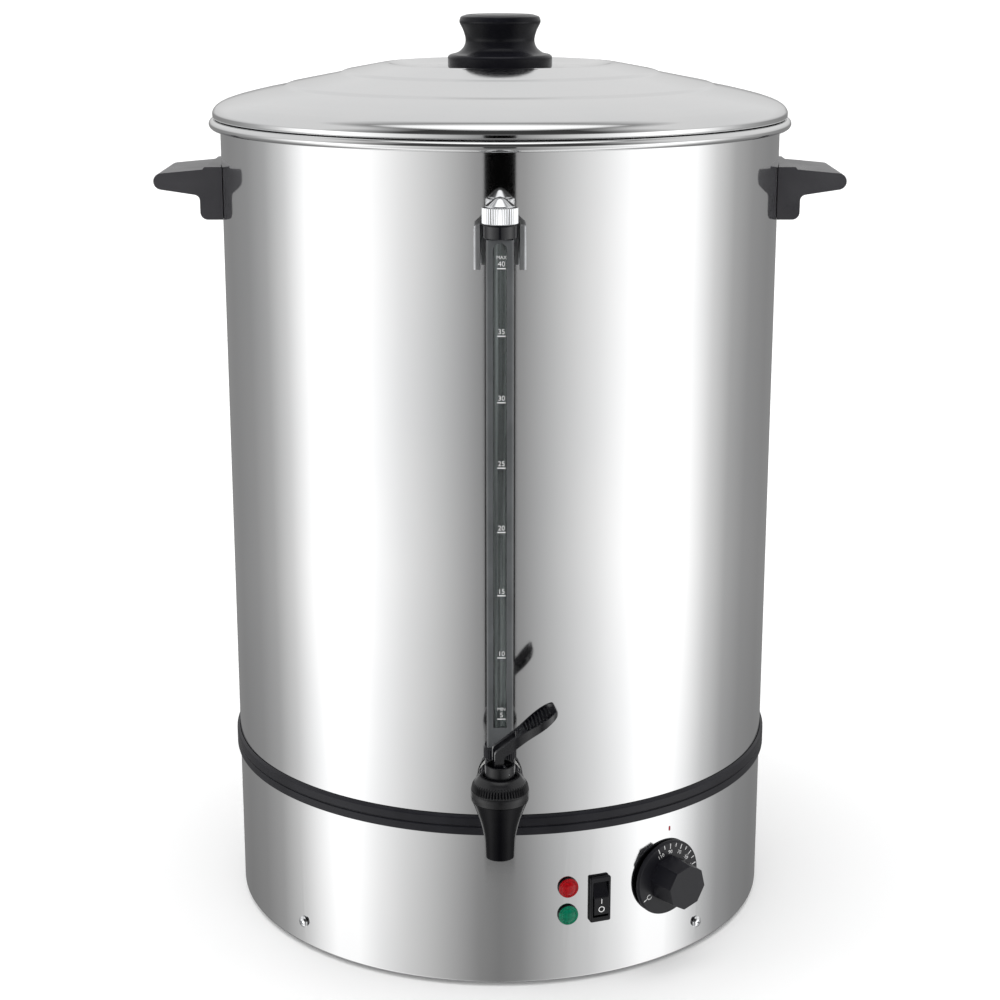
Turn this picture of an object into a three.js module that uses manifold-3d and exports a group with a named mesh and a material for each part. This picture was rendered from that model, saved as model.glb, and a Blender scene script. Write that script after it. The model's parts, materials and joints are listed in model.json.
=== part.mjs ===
// Electric brew kettle: a steel tank on a base skirt, with a lift-off lid, side handles, sight gauge,
// swivelling lever tap and thermostat. Millimetres, +Z up. The origin is the middle of the
// footprint, on the surface that the feet stand on; the tap faces -Y.
import * as THREE from "three";
import { mergeVertices } from "three/addons/utils/BufferGeometryUtils.js";
import Module from "manifold-3d";

const wasm = await Module();
wasm.setup();

// Driving dimensions. Heights are measured from the skirt's lower edge, radii from the tank's axis.
const TANK_RADIUS = 190;
const SHEET = 1.2; // steel sheet
const GAP = 0.3; // between pieces that touch
const ROUND_SIDES = 48; // facets of the tank, skirt and lid
const FOOT_DROP = 3; // feet below the skirt's edge
const SKIRT_TOP = 112.4;
const BAND_BOTTOM = 106.3;
const BAND_TOP = 119.9;
const FLOOR_HEIGHT = 125; // underside of the tank's floor
const RIM_HEIGHT = 550; // middle of the rolled rim
const RIM_BEAD = 3.3;
const LID_RADIUS = 195;
const LID_PLATEAU = 585.4;
const KNOB_RADIUS = 35.4;
const KNOB_TOP = 620.6;
const HANDLE_WIDTH = 75;
const HANDLE_REACH = 233;
const HANDLE_SCREW_HEIGHT = 500;
const HANDLE_SCREW_SPREAD = 22;
const GAUGE_REACH = 213; // the glass tube's axis
const GAUGE_BOTTOM = 170.3;
const GAUGE_BORE_RADIUS = 3.6;
const GAUGE_GLASS_RADIUS = 4.8;
const GAUGE_NUT_RADIUS = 10.4;
const SHIELD_BOTTOM = 178.9;
const SHIELD_TOP = 498;
const SHIELD_WIDTH = 16.5;
const SHIELD_FACE = 220.5;
const TAP_REACH = 250; // the tap's swivel axis
const SHANK_HEIGHT = 146;
const SHANK_RADIUS = 8.9;
const SPOUT_BOTTOM = 119;
const BONNET_BOTTOM = 157.4;
const BONNET_RADIUS = 18.3;
const LEVER_HEADING = 98; // degrees from straight ahead, to the right
const LEVER_PIN_OFFSET = 3.8; // from the swivel axis
const LEVER_PIN_HEIGHT = 175.5;
const FOOT_RING = 150;
const STAY_RING = 120;
const CORNER_AZIMUTHS = [45, 135, 225, 315]; // feet and skirt screws
const STAY_AZIMUTHS = [60, 180, 300];
const SKIRT_SCREW_HEIGHT = 17;
const LAMP_AZIMUTH = 13.6;
const RED_LAMP_HEIGHT = 66.6;
const GREEN_LAMP_HEIGHT = 47.1;
const SWITCH_AZIMUTH = 20.2;
const SWITCH_HEIGHT = 56;
const LAMP_RADIUS = 6.9;
const ROCKER_TILT = 10; // degrees either side of level
const DIAL_AZIMUTH = 35.8;
const DIAL_HEIGHT = 60.2;
const DIAL_RADIUS = 26.1;
const DIAL_GRIP_RADIUS = 16.3;
const DIAL_GRIP_TURN = -8; // degrees from an edge upright
const DIAL_FACE = 213; // how far out the grip's end stands
const GLAND_HEIGHT = 32;
const GLAND_REACH = 205;

const INNER_RADIUS = TANK_RADIUS - SHEET;
const LID_UNDERSIDE = RIM_HEIGHT + RIM_BEAD + GAP;
const AXIS_OFFSET = (TAP_REACH + BONNET_RADIUS - GLAND_REACH) / 2;

const radians = THREE.MathUtils.degToRad;

// Materials.
function finish(color, metalness, roughness, extra = {}) {
  return new THREE.MeshStandardMaterial({ color, metalness, roughness, flatShading: true, ...extra });
}
const POLISHED_STEEL = finish(0xc9cbcd, 1, 0.16);
const PLAIN_STEEL = finish(0xa9abad, 1, 0.4);
const CHROME = finish(0xe6e8ea, 1, 0.08);
const BLACK_PLASTIC = finish(0x15141a, 0, 0.35);
const GREY_PLASTIC = finish(0x4a494e, 0, 0.5);
const RUBBER = finish(0x18191d, 0, 0.7);
const SEAL_SILICONE = finish(0xb9b2a4, 0, 0.6);
const BRASS = finish(0xb08d4a, 1, 0.35);
const ALUMINIUM = finish(0xb8bbbf, 1, 0.45);
const RED_LENS = finish(0xb3121a, 0, 0.15);
const GREEN_LENS = finish(0x0f7a4a, 0, 0.15);
const GLASS = finish(0xdfe8ea, 0, 0.05, { transparent: true, opacity: 0.35 });
const CERAMIC = finish(0xd8d3c6, 0, 0.6);

// Shapes.

// A closed geometry as a solid that can be joined and cut.
function solidOf(geometry) {
  const bare = geometry.clone();
  bare.deleteAttribute("normal");
  bare.deleteAttribute("uv");
  const merged = mergeVertices(bare, 1e-4);
  const mesh = new wasm.Mesh({
    numProp: 3,
    vertProperties: merged.getAttribute("position").array,
    triVerts: new Uint32Array(merged.index.array),
  });
  return new wasm.Manifold(mesh);
}

function geometryOf(solid) {
  const mesh = solid.getMesh();
  const geometry = new THREE.BufferGeometry();
  geometry.setAttribute("position", new THREE.BufferAttribute(mesh.vertProperties, 3));
  geometry.setIndex(new THREE.BufferAttribute(mesh.triVerts, 1));
  geometry.computeVertexNormals();
  return geometry;
}

function join(...shapes) {
  return geometryOf(shapes.map(solidOf).reduce((whole, piece) => whole.add(piece)));
}

function cut(shape, ...tools) {
  return geometryOf(tools.map(solidOf).reduce((rest, tool) => rest.subtract(tool), solidOf(shape)));
}

function common(shape, other) {
  return geometryOf(solidOf(shape).intersect(solidOf(other)));
}

// A profile of [radius, height] points turned about Z. It starts and ends on the axis.
function turned(profile, sides = 16) {
  const points = profile.map(([radius, height]) => new THREE.Vector2(radius, height));
  return new THREE.LatheGeometry(points, sides).rotateX(Math.PI / 2);
}

// The same, for a profile that closes on itself around a bore.
function turnedRing(profile, sides = 16) {
  return turned([...profile, profile[0]], sides);
}

// Turns a shape that stands on Z so that its height runs out of the front, along -Y.
function facingOut(geometry) {
  return geometry.rotateX(Math.PI / 2);
}

// Points of an arc, angles in degrees from the first axis.
function arc(x, y, radius, from, to, steps) {
  return Array.from({ length: steps + 1 }, (_, i) => {
    const angle = radians(from + ((to - from) * i) / steps);
    return [x + radius * Math.cos(angle), y + radius * Math.sin(angle)];
  });
}

// An outline of [x, z] points, extruded along Y and centred on y = 0.
function sideProfile(outline, width) {
  const shape = new THREE.Shape(outline.map(([x, z]) => new THREE.Vector2(x, z)));
  const extruded = new THREE.ExtrudeGeometry(shape, { depth: width, bevelEnabled: false });
  return extruded.rotateX(Math.PI / 2).translate(0, width / 2, 0);
}

// A rectangle of width x height with round corners, extruded towards the front from near to far.
function roundedBlock(width, height, corner, near, far) {
  const x = width / 2 - corner;
  const z = height / 2 - corner;
  const outline = [
    ...arc(x, z, corner, 0, 90, 2),
    ...arc(-x, z, corner, 90, 180, 2),
    ...arc(-x, -z, corner, 180, 270, 2),
    ...arc(x, -z, corner, 270, 360, 2),
  ];
  return sideProfile(outline, far - near).translate(0, -(near + far) / 2, 0);
}

function box(width, depth, height, x, y, z) {
  return new THREE.BoxGeometry(width, depth, height).translate(x, y, z);
}

// A cylinder about a vertical line.
function post(radius, bottom, top, x = 0, y = 0, sides = 12) {
  const height = top - bottom;
  const cylinder = new THREE.CylinderGeometry(radius, radius, height, sides);
  return cylinder.rotateX(Math.PI / 2).translate(x, y, (bottom + top) / 2);
}

// A cylinder along a radius of the tank.
function spoke(radius, near, far, azimuth, height, sides = 12) {
  const cylinder = new THREE.CylinderGeometry(radius, radius, far - near, sides);
  return cylinder.translate(0, -(near + far) / 2, 0).rotateZ(radians(azimuth)).translate(0, 0, height);
}

// A round bar along a curve.
function bar(curve, radius, steps, halfSides) {
  const section = new THREE.Shape();
  section.absarc(0, 0, radius, 0, Math.PI * 2, false);
  return new THREE.ExtrudeGeometry(section, { steps, extrudePath: curve, curveSegments: halfSides });
}

// The scene graph: the kettle's group has its axis at x = y = 0 and the skirt's edge at z = 0.
const root = new THREE.Group();
const kettle = new THREE.Group();
kettle.position.set(0, AXIS_OFFSET, FOOT_DROP);
root.add(kettle);

function add(name, geometry, material, parent = kettle) {
  const mesh = new THREE.Mesh(geometry, material);
  mesh.name = name;
  parent.add(mesh);
  return mesh;
}

// A group whose -Y points out of the tank at an azimuth, degrees from the front towards +X.
function station(azimuth, height) {
  const group = new THREE.Group();
  group.rotation.z = radians(azimuth);
  group.position.z = height;
  kettle.add(group);
  return group;
}

// Where a vertical piece stands on a ring about the tank's axis.
function onRing(radius, azimuth) {
  return [radius * Math.sin(radians(azimuth)), -radius * Math.cos(radians(azimuth))];
}

// A cylinder just outside the tank, for shaping what sits against its wall.
function tankSpace(bottom, top, radius = TANK_RADIUS + GAP) {
  return turned([[0, bottom], [radius, bottom], [radius, top], [0, top]], ROUND_SIDES);
}

// Drills for the two screws of the handle on one side, -1 for left and 1 for right.
function handleScrewDrills(side, radius) {
  const start = 180;
  const end = 197.2;
  return [-HANDLE_SCREW_SPREAD, HANDLE_SCREW_SPREAD].map((y) => {
    const drill = new THREE.CylinderGeometry(radius, radius, end - start, 12).rotateZ(Math.PI / 2);
    return drill.translate((side * (start + end)) / 2, y, HANDLE_SCREW_HEIGHT);
  });
}

function buildTank() {
  const lowerEdge = SKIRT_TOP + 1.4;
  const beadRadius = TANK_RADIUS + RIM_BEAD + 1;
  const wall = turnedRing(
    [
      [TANK_RADIUS, lowerEdge],
      [TANK_RADIUS, RIM_HEIGHT - RIM_BEAD],
      ...arc(beadRadius, RIM_HEIGHT, RIM_BEAD, -130, 110, 6),
      [INNER_RADIUS, RIM_HEIGHT + 1.6],
      [INNER_RADIUS, lowerEdge],
    ],
    ROUND_SIDES,
  );
  const screwHoles = [-1, 1].flatMap((side) => handleScrewDrills(side, 2.6));
  const tapHole = spoke(SHANK_RADIUS + 0.4, 180, 200, 0, SHANK_HEIGHT);
  add("tank_wall", cut(wall, tapHole, ...screwHoles), POLISHED_STEEL);

  const flangeRadius = INNER_RADIUS - GAP;
  const floorTop = FLOOR_HEIGHT + SHEET;
  const floor = turned(
    [
      [0, FLOOR_HEIGHT],
      [flangeRadius - 4, FLOOR_HEIGHT],
      [flangeRadius - 1.2, FLOOR_HEIGHT + 1.2],
      [flangeRadius, FLOOR_HEIGHT + 4],
      [flangeRadius, FLOOR_HEIGHT + 10],
      [flangeRadius - SHEET, FLOOR_HEIGHT + 10],
      [flangeRadius - SHEET, FLOOR_HEIGHT + 4.4],
      [flangeRadius - 4.4, floorTop],
      [0, floorTop],
    ],
    ROUND_SIDES,
  );
  add("tank_floor", floor, PLAIN_STEEL);
}

function buildBand() {
  const inside = TANK_RADIUS + GAP;
  const outside = TANK_RADIUS + 2.3;
  const web = SKIRT_TOP + GAP;
  const band = turnedRing(
    [
      [inside, BAND_BOTTOM],
      [outside, BAND_BOTTOM],
      [outside, BAND_TOP],
      [inside, BAND_TOP],
      [inside, web + 0.8],
      [TANK_RADIUS - 4, web + 0.8],
      [TANK_RADIUS - 4, web],
      [inside, web],
    ],
    ROUND_SIDES,
  );
  add("band_gasket", band, RUBBER);
}

function buildBase() {
  const skirt = turnedRing(
    [
      [TANK_RADIUS - 8, 0],
      [TANK_RADIUS, 0],
      [TANK_RADIUS, SKIRT_TOP],
      [INNER_RADIUS, SKIRT_TOP],
      [INNER_RADIUS, SHEET],
      [TANK_RADIUS - 8, SHEET],
    ],
    ROUND_SIDES,
  );
  const near = 185;
  const far = 195;
  const switchHole = roundedBlock(13, 28.6, 1, near, far)
    .rotateZ(radians(SWITCH_AZIMUTH))
    .translate(0, 0, SWITCH_HEIGHT);
  const holes = [
    switchHole,
    spoke(4.9, near, far, LAMP_AZIMUTH, RED_LAMP_HEIGHT),
    spoke(4.9, near, far, LAMP_AZIMUTH, GREEN_LAMP_HEIGHT),
    spoke(5, near, far, DIAL_AZIMUTH, DIAL_HEIGHT),
    spoke(7.6, near, far, 180, GLAND_HEIGHT),
    ...CORNER_AZIMUTHS.map((azimuth) => spoke(2.3, near, far, azimuth, SKIRT_SCREW_HEIGHT, 8)),
  ];
  add("base_skirt", cut(skirt, ...holes), POLISHED_STEEL);

  const flange = INNER_RADIUS - 1.6;
  const plateBottom = 5;
  const plateTop = plateBottom + SHEET;
  const flangeTop = 23;
  const plate = turned(
    [
      [0, plateBottom],
      [flange, plateBottom],
      [flange, flangeTop],
      [flange - SHEET, flangeTop],
      [flange - SHEET, plateTop],
      [0, plateTop],
    ],
    ROUND_SIDES,
  );
  const drill = (radius, ring, azimuth) => post(radius, 0, 12, ...onRing(ring, azimuth), 8);
  const ventAzimuths = [0, 60, 120, 180, 240, 300];
  const plateHoles = [
    ...CORNER_AZIMUTHS.map((azimuth) => drill(4.1, FOOT_RING, azimuth)),
    ...CORNER_AZIMUTHS.map((azimuth) => spoke(2.3, 180, far, azimuth, SKIRT_SCREW_HEIGHT, 8)),
    ...STAY_AZIMUTHS.map((azimuth) => drill(3.4, STAY_RING, azimuth)),
    ...ventAzimuths.map((azimuth) => drill(5, 60, azimuth)),
  ];
  add("base_plate", cut(plate, ...plateHoles), PLAIN_STEEL);

  CORNER_AZIMUTHS.forEach((azimuth, i) => {
    const foot = turned(
      [
        [0, -FOOT_DROP],
        [11.5, -FOOT_DROP],
        [13, -FOOT_DROP + 1.4],
        [12, plateBottom - GAP],
        [3.8, plateBottom - GAP],
        [3.8, plateTop + GAP],
        [5.2, plateTop + GAP],
        [3.2, plateTop + 3.4],
        [0, plateTop + 3.4],
      ],
      12,
    );
    const [x, y] = onRing(FOOT_RING, azimuth);
    add(`foot_${i + 1}`, foot, RUBBER).position.set(x, y, 0);

    const screw = turned(
      [
        [0, 183],
        [1.9, 183],
        [1.9, TANK_RADIUS + 0.4],
        [3.9, TANK_RADIUS + 0.4],
        [3.9, TANK_RADIUS + 1.5],
        [3, TANK_RADIUS + 2.5],
        [0, TANK_RADIUS + 3],
      ],
      12,
    );
    add(`skirt_screw_${i + 1}`, facingOut(screw), CHROME, station(azimuth, SKIRT_SCREW_HEIGHT));
  });

  STAY_AZIMUTHS.forEach((azimuth, i) => {
    const [x, y] = onRing(STAY_RING, azimuth);
    const head = post(5.8, plateBottom - GAP - 3.6, plateBottom - GAP, x, y, 6);
    const shank = post(3, plateBottom - GAP - 1, FLOOR_HEIGHT - GAP, x, y, 12);
    add(`stay_bolt_${i + 1}`, join(head, shank), PLAIN_STEEL);
  });
}

function buildLid() {
  const collar = INNER_RADIUS - 1.2; // the ring that drops inside the tank
  const collarBottom = 541;
  const boreRadius = 2.7;
  const top = [
    [LID_RADIUS - 0.6, LID_UNDERSIDE + 5.6],
    [LID_RADIUS - 3.4, LID_UNDERSIDE + 8.8],
    [LID_RADIUS - 8, LID_UNDERSIDE + 11],
    [180, 566.9],
    [162, 571.4],
    [145, 575],
    [107, 583.4],
    [80, 588.9],
    [76, 588.9],
    [62, LID_PLATEAU],
    [boreRadius, LID_PLATEAU],
  ];
  const bottom = [
    [boreRadius, LID_PLATEAU - SHEET],
    [62.4, LID_PLATEAU - SHEET],
    [78, 587.7],
    [107, 582.1],
    [162, 569.5],
    [collar - SHEET, 560.6],
  ];
  const edge = arc(LID_RADIUS - 2, LID_UNDERSIDE + 2, 2, -90, 0, 2);
  const outside = [[collar, collarBottom], [collar, LID_UNDERSIDE], ...edge, ...top];
  const shell = turnedRing([...outside, ...bottom, [collar - SHEET, collarBottom]], ROUND_SIDES);
  add("lid_shell", shell, POLISHED_STEEL);

  const seat = LID_PLATEAU + GAP;
  const knob = turned(
    [
      [0, seat + 20.3],
      [2.8, seat + 20.3],
      [2.8, seat],
      [KNOB_RADIUS, seat],
      [KNOB_RADIUS, seat + 7.1],
      [KNOB_RADIUS - 1.2, seat + 8.3],
      [28.5, seat + 9.6],
      [24.6, seat + 13],
      [23.1, seat + 17.3],
      [24.4, seat + 23.2],
      [27.7, seat + 29.8],
      [26.4, KNOB_TOP - 1.8],
      [22, KNOB_TOP],
      [0, KNOB_TOP],
    ],
    24,
  );
  add("lid_knob", knob, BLACK_PLASTIC);

  const headTop = LID_PLATEAU - SHEET - GAP;
  const screw = turned(
    [
      [0, headTop - 2.6],
      [3.6, headTop - 2.6],
      [5.4, headTop - 1],
      [5.4, headTop],
      [2.3, headTop],
      [2.3, seat + 18],
      [0, seat + 18],
    ],
    16,
  );
  add("lid_knob_screw", screw, PLAIN_STEEL);
}

function buildHandles() {
  const legX = 202;
  const legBottom = 486.6;
  const noseRadius = 5.5;
  const noseX = HANDLE_REACH - noseRadius;
  const noseHeight = 512.2;
  const outline = [
    [185, legBottom],
    ...arc(legX - 5, legBottom + 5, 5, -90, 0, 4),
    [legX, 499.4],
    ...arc(legX + 4, 499.4, 4, 180, 97, 3),
    ...arc(noseX, noseHeight, noseRadius, -83, 86, 7),
    [199.4, 520.2],
    [198.6, 521.9],
    [185, 521.9],
  ];
  const saddle = tankSpace(480, 530);
  const names = { "-1": "left", 1: "right" };
  for (const side of [-1, 1]) {
    const outlineForSide = outline.map(([x, z]) => [side * x, z]);
    const grip = sideProfile(side < 0 ? outlineForSide.reverse() : outlineForSide, HANDLE_WIDTH);
    const drills = handleScrewDrills(side, 2.4);
    add(`${names[side]}_handle`, cut(grip, saddle, ...drills), GREY_PLASTIC);

    [-HANDLE_SCREW_SPREAD, HANDLE_SCREW_SPREAD].forEach((y, i) => {
      const screw = turned(
        [[0, 183], [3.2, 183], [4.6, 184.4], [4.6, 186.2], [2, 186.2], [2, 196.6], [0, 196.6]],
        12,
      );
      screw.rotateY((side * Math.PI) / 2).translate(0, y, HANDLE_SCREW_HEIGHT);
      add(`${names[side]}_handle_screw_${i + 1}`, screw, PLAIN_STEEL);
    });
  }
}

function buildGauge() {
  const y = -GAUGE_REACH;
  const glassBottom = GAUGE_BOTTOM + 2.3;
  const glassTop = SHIELD_TOP + 11;
  const glass = turnedRing([
    [GAUGE_BORE_RADIUS, glassBottom],
    [GAUGE_GLASS_RADIUS, glassBottom],
    [GAUGE_GLASS_RADIUS, glassTop],
    [GAUGE_BORE_RADIUS, glassTop],
  ]);
  const tubeHoleRadius = GAUGE_GLASS_RADIUS + 0.4;
  add("gauge_glass", glass, GLASS).position.y = y;

  // The shield is a channel, open towards the tank, with a round-topped slot in its face.
  const wallThickness = 1.2;
  const shieldHeight = SHIELD_TOP - SHIELD_BOTTOM;
  const shieldMiddle = (SHIELD_TOP + SHIELD_BOTTOM) / 2;
  const shieldBack = SHIELD_FACE - 15;
  const channel = roundedBlock(SHIELD_WIDTH, shieldHeight, 0.6, shieldBack, SHIELD_FACE);
  const hollow = roundedBlock(
    SHIELD_WIDTH - 2 * wallThickness,
    shieldHeight + 2,
    0.6,
    shieldBack - 1,
    SHIELD_FACE - wallThickness,
  );
  const slotHalf = 4.15;
  const slotBottom = 192;
  const slotTop = 492;
  const slot = sideProfile(
    [[-slotHalf, slotBottom], [slotHalf, slotBottom], ...arc(0, slotTop, slotHalf, 0, 180, 8)],
    10,
  );
  channel.translate(0, 0, shieldMiddle);
  hollow.translate(0, 0, shieldMiddle);
  slot.translate(0, -SHIELD_FACE, 0);
  add("gauge_shield", cut(channel, hollow, slot), BLACK_PLASTIC);

  const windowFace = SHIELD_FACE - wallThickness - GAP;
  const paneTop = SHIELD_TOP - 0.6;
  const paneBottom = slotBottom - 5;
  const pane = roundedBlock(12.6, paneTop - paneBottom, 0.6, windowFace - 0.8, windowFace);
  add("gauge_window", pane, GLASS).position.z = (paneTop + paneBottom) / 2;

  // The bracket holds the collar against the tank wall.
  const bracketBottom = SHIELD_TOP - 18.7;
  const bracketTop = SHIELD_TOP + 8.4;
  const bracketHeight = bracketTop - bracketBottom;
  const bracketWidth = 31.6;
  const bracketBack = TANK_RADIUS + GAP;
  const bracketDepth = GAUGE_REACH - bracketBack;
  const bracketMiddle = (bracketTop + bracketBottom) / 2;
  const block = roundedBlock(bracketWidth, bracketHeight, 3, bracketBack, GAUGE_REACH);
  const squareHalf = box(
    bracketWidth,
    bracketDepth,
    bracketHeight / 2,
    0,
    -(bracketBack + bracketDepth / 2),
    -bracketHeight / 4,
  );
  const channelCut = box(23.5, 24, 40, 0, -(bracketBack + 2.5 + 12), 0);
  add("gauge_bracket", cut(join(block, squareHalf), channelCut), POLISHED_STEEL).position.z = bracketMiddle;

  const collarBottom = SHIELD_TOP + GAP;
  const collarTop = SHIELD_TOP + 8.5;
  const collarMiddle = (collarBottom + collarTop) / 2;
  const collar = turned(
    [[0, collarBottom], [GAUGE_NUT_RADIUS, collarBottom], [GAUGE_NUT_RADIUS, collarTop], [0, collarTop]],
  );
  const tongueBack = bracketBack + 2.5 + GAP;
  const tongueLength = GAUGE_REACH - tongueBack;
  const tongue = box(12, tongueLength, 5, 0, -(tongueBack + tongueLength / 2), collarMiddle);
  const tubeHole = post(tubeHoleRadius, collarBottom - 5, collarTop + 5, 0, y);
  collar.translate(0, y, 0);
  add("gauge_top_collar", cut(join(collar, tongue), tubeHole), BLACK_PLASTIC);

  const capBottom = collarTop + GAP;
  const capShoulder = capBottom + 9.5; // top of the knurled band
  const capTip = capBottom + 16;
  const capRadius = 10.85;
  const coneRadius = 8.9;
  const cap = turned([
    [0, capBottom + 4],
    [7.4, capBottom + 4],
    [7.4, capBottom],
    [capRadius - 0.2, capBottom],
    [capRadius, capBottom + 0.4],
    [capRadius, capShoulder],
    [capRadius - 0.5, capShoulder + 0.5],
    [coneRadius, capShoulder + 0.7],
    [coneRadius, capShoulder + 1.1],
    [3, capTip - 1.2],
    [1.6, capTip - 0.3],
    [0, capTip],
  ]);
  add("gauge_cap_nut", cap, CHROME).position.y = y;

  const seal = turnedRing([[5.1, capBottom], [7, capBottom], [7, capBottom + 3], [5.1, capBottom + 3]]);
  add("gauge_top_seal", seal, SEAL_SILICONE).position.y = y;

  const nut = turnedRing([
    [tubeHoleRadius, GAUGE_BOTTOM],
    [GAUGE_NUT_RADIUS, GAUGE_BOTTOM],
    [GAUGE_NUT_RADIUS, SHIELD_BOTTOM - 1.1],
    [GAUGE_NUT_RADIUS - 0.8, SHIELD_BOTTOM - GAP],
    [tubeHoleRadius, SHIELD_BOTTOM - GAP],
  ]);
  add("gauge_bottom_nut", nut, BLACK_PLASTIC).position.y = y;
}

function buildTapBody() {
  const shoulder = BONNET_BOTTOM - GAP;
  const sleeveTop = shoulder + 5.6; // the threads that hold the bonnet
  const shank = facingOut(
    turned([
      [0, 177],
      [SHANK_RADIUS, 177],
      [SHANK_RADIUS, 206],
      [8.2, 208],
      [8.2, 246],
      [0, 246],
    ]),
  ).translate(0, 0, SHANK_HEIGHT);
  const gaugeBoss = post(9.6, SHANK_HEIGHT, GAUGE_BOTTOM - GAP, 0, -GAUGE_REACH);
  const spout = turned(
    [
      [0, SPOUT_BOTTOM],
      [9.05, SPOUT_BOTTOM],
      [9.6, 132],
      [11.6, 141],
      [15.2, 151.5],
      [17.6, shoulder],
      [14.6, shoulder],
      [14.6, sleeveTop],
      [0, sleeveTop],
    ],
    24,
  ).translate(0, -TAP_REACH, 0);
  const chamber = turned([
    [0, 150],
    [8.6, 150],
    [8.6, 141],
    [10.2, 141],
    [12.4, 147],
    [12.4, sleeveTop + 1],
    [0, sleeveTop + 1],
  ]).translate(0, -TAP_REACH, 0);
  const nozzleBore = post(6.6, SPOUT_BOTTOM - 1, 151, 0, -TAP_REACH);
  const inletBore = spoke(4.8, 176, TAP_REACH - 10, 0, SHANK_HEIGHT);
  const gaugeBore = post(3.4, SHANK_HEIGHT, 171, 0, -GAUGE_REACH);
  const body = cut(join(shank, gaugeBoss, spout), chamber, nozzleBore, inletBore, gaugeBore);
  add("tap_body", body, BLACK_PLASTIC);

  const bonnet = turnedRing(
    [
      [14.9, BONNET_BOTTOM],
      [BONNET_RADIUS - 0.4, BONNET_BOTTOM],
      [BONNET_RADIUS, BONNET_BOTTOM + 3.2],
      [BONNET_RADIUS - 0.4, BONNET_BOTTOM + 5.4],
      [16.2, BONNET_BOTTOM + 10.8],
      [13.4, BONNET_BOTTOM + 14.2],
      [11.9, BONNET_BOTTOM + 15.4],
      [10.5, BONNET_BOTTOM + 15.4],
      [10.5, 169.2],
      [7.3, 169.2],
      [7.3, 165.5],
      [12.4, 165.5],
      [12.4, sleeveTop + GAP],
      [14.9, sleeveTop + GAP],
    ],
    24,
  );
  add("tap_bonnet", bonnet, BLACK_PLASTIC).position.y = -TAP_REACH;

  const threadClear = SHANK_RADIUS + 0.4;
  const wallNut = turnedRing([
    [threadClear, 194.2],
    [15.4, 194.2],
    [15.4, 203],
    [threadClear, 203],
  ]);
  add("tap_wall_nut", facingOut(wallNut), BLACK_PLASTIC).position.z = SHANK_HEIGHT;

  const washer = facingOut(
    turnedRing([[threadClear, 187], [14.6, 187], [14.6, 193.9], [threadClear, 193.9]]),
  ).translate(0, 0, SHANK_HEIGHT);
  add("tap_washer", cut(washer, tankSpace(120, 170)), SEAL_SILICONE);

  const hexagon = spoke(14.6, 180, 186, 0, SHANK_HEIGHT, 6);
  const hexBore = spoke(threadClear, 179, 187, 0, SHANK_HEIGHT);
  add("tap_lock_nut", cut(hexagon, hexBore), BLACK_PLASTIC);
}

class Helix extends THREE.Curve {
  constructor(radius, bottom, top, turns) {
    super();
    Object.assign(this, { radius, bottom, top, turns });
  }

  getPoint(t) {
    const angle = 2 * Math.PI * this.turns * t;
    const height = THREE.MathUtils.lerp(this.bottom, this.top, t);
    return new THREE.Vector3(this.radius * Math.cos(angle), this.radius * Math.sin(angle), height);
  }
}

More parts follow.
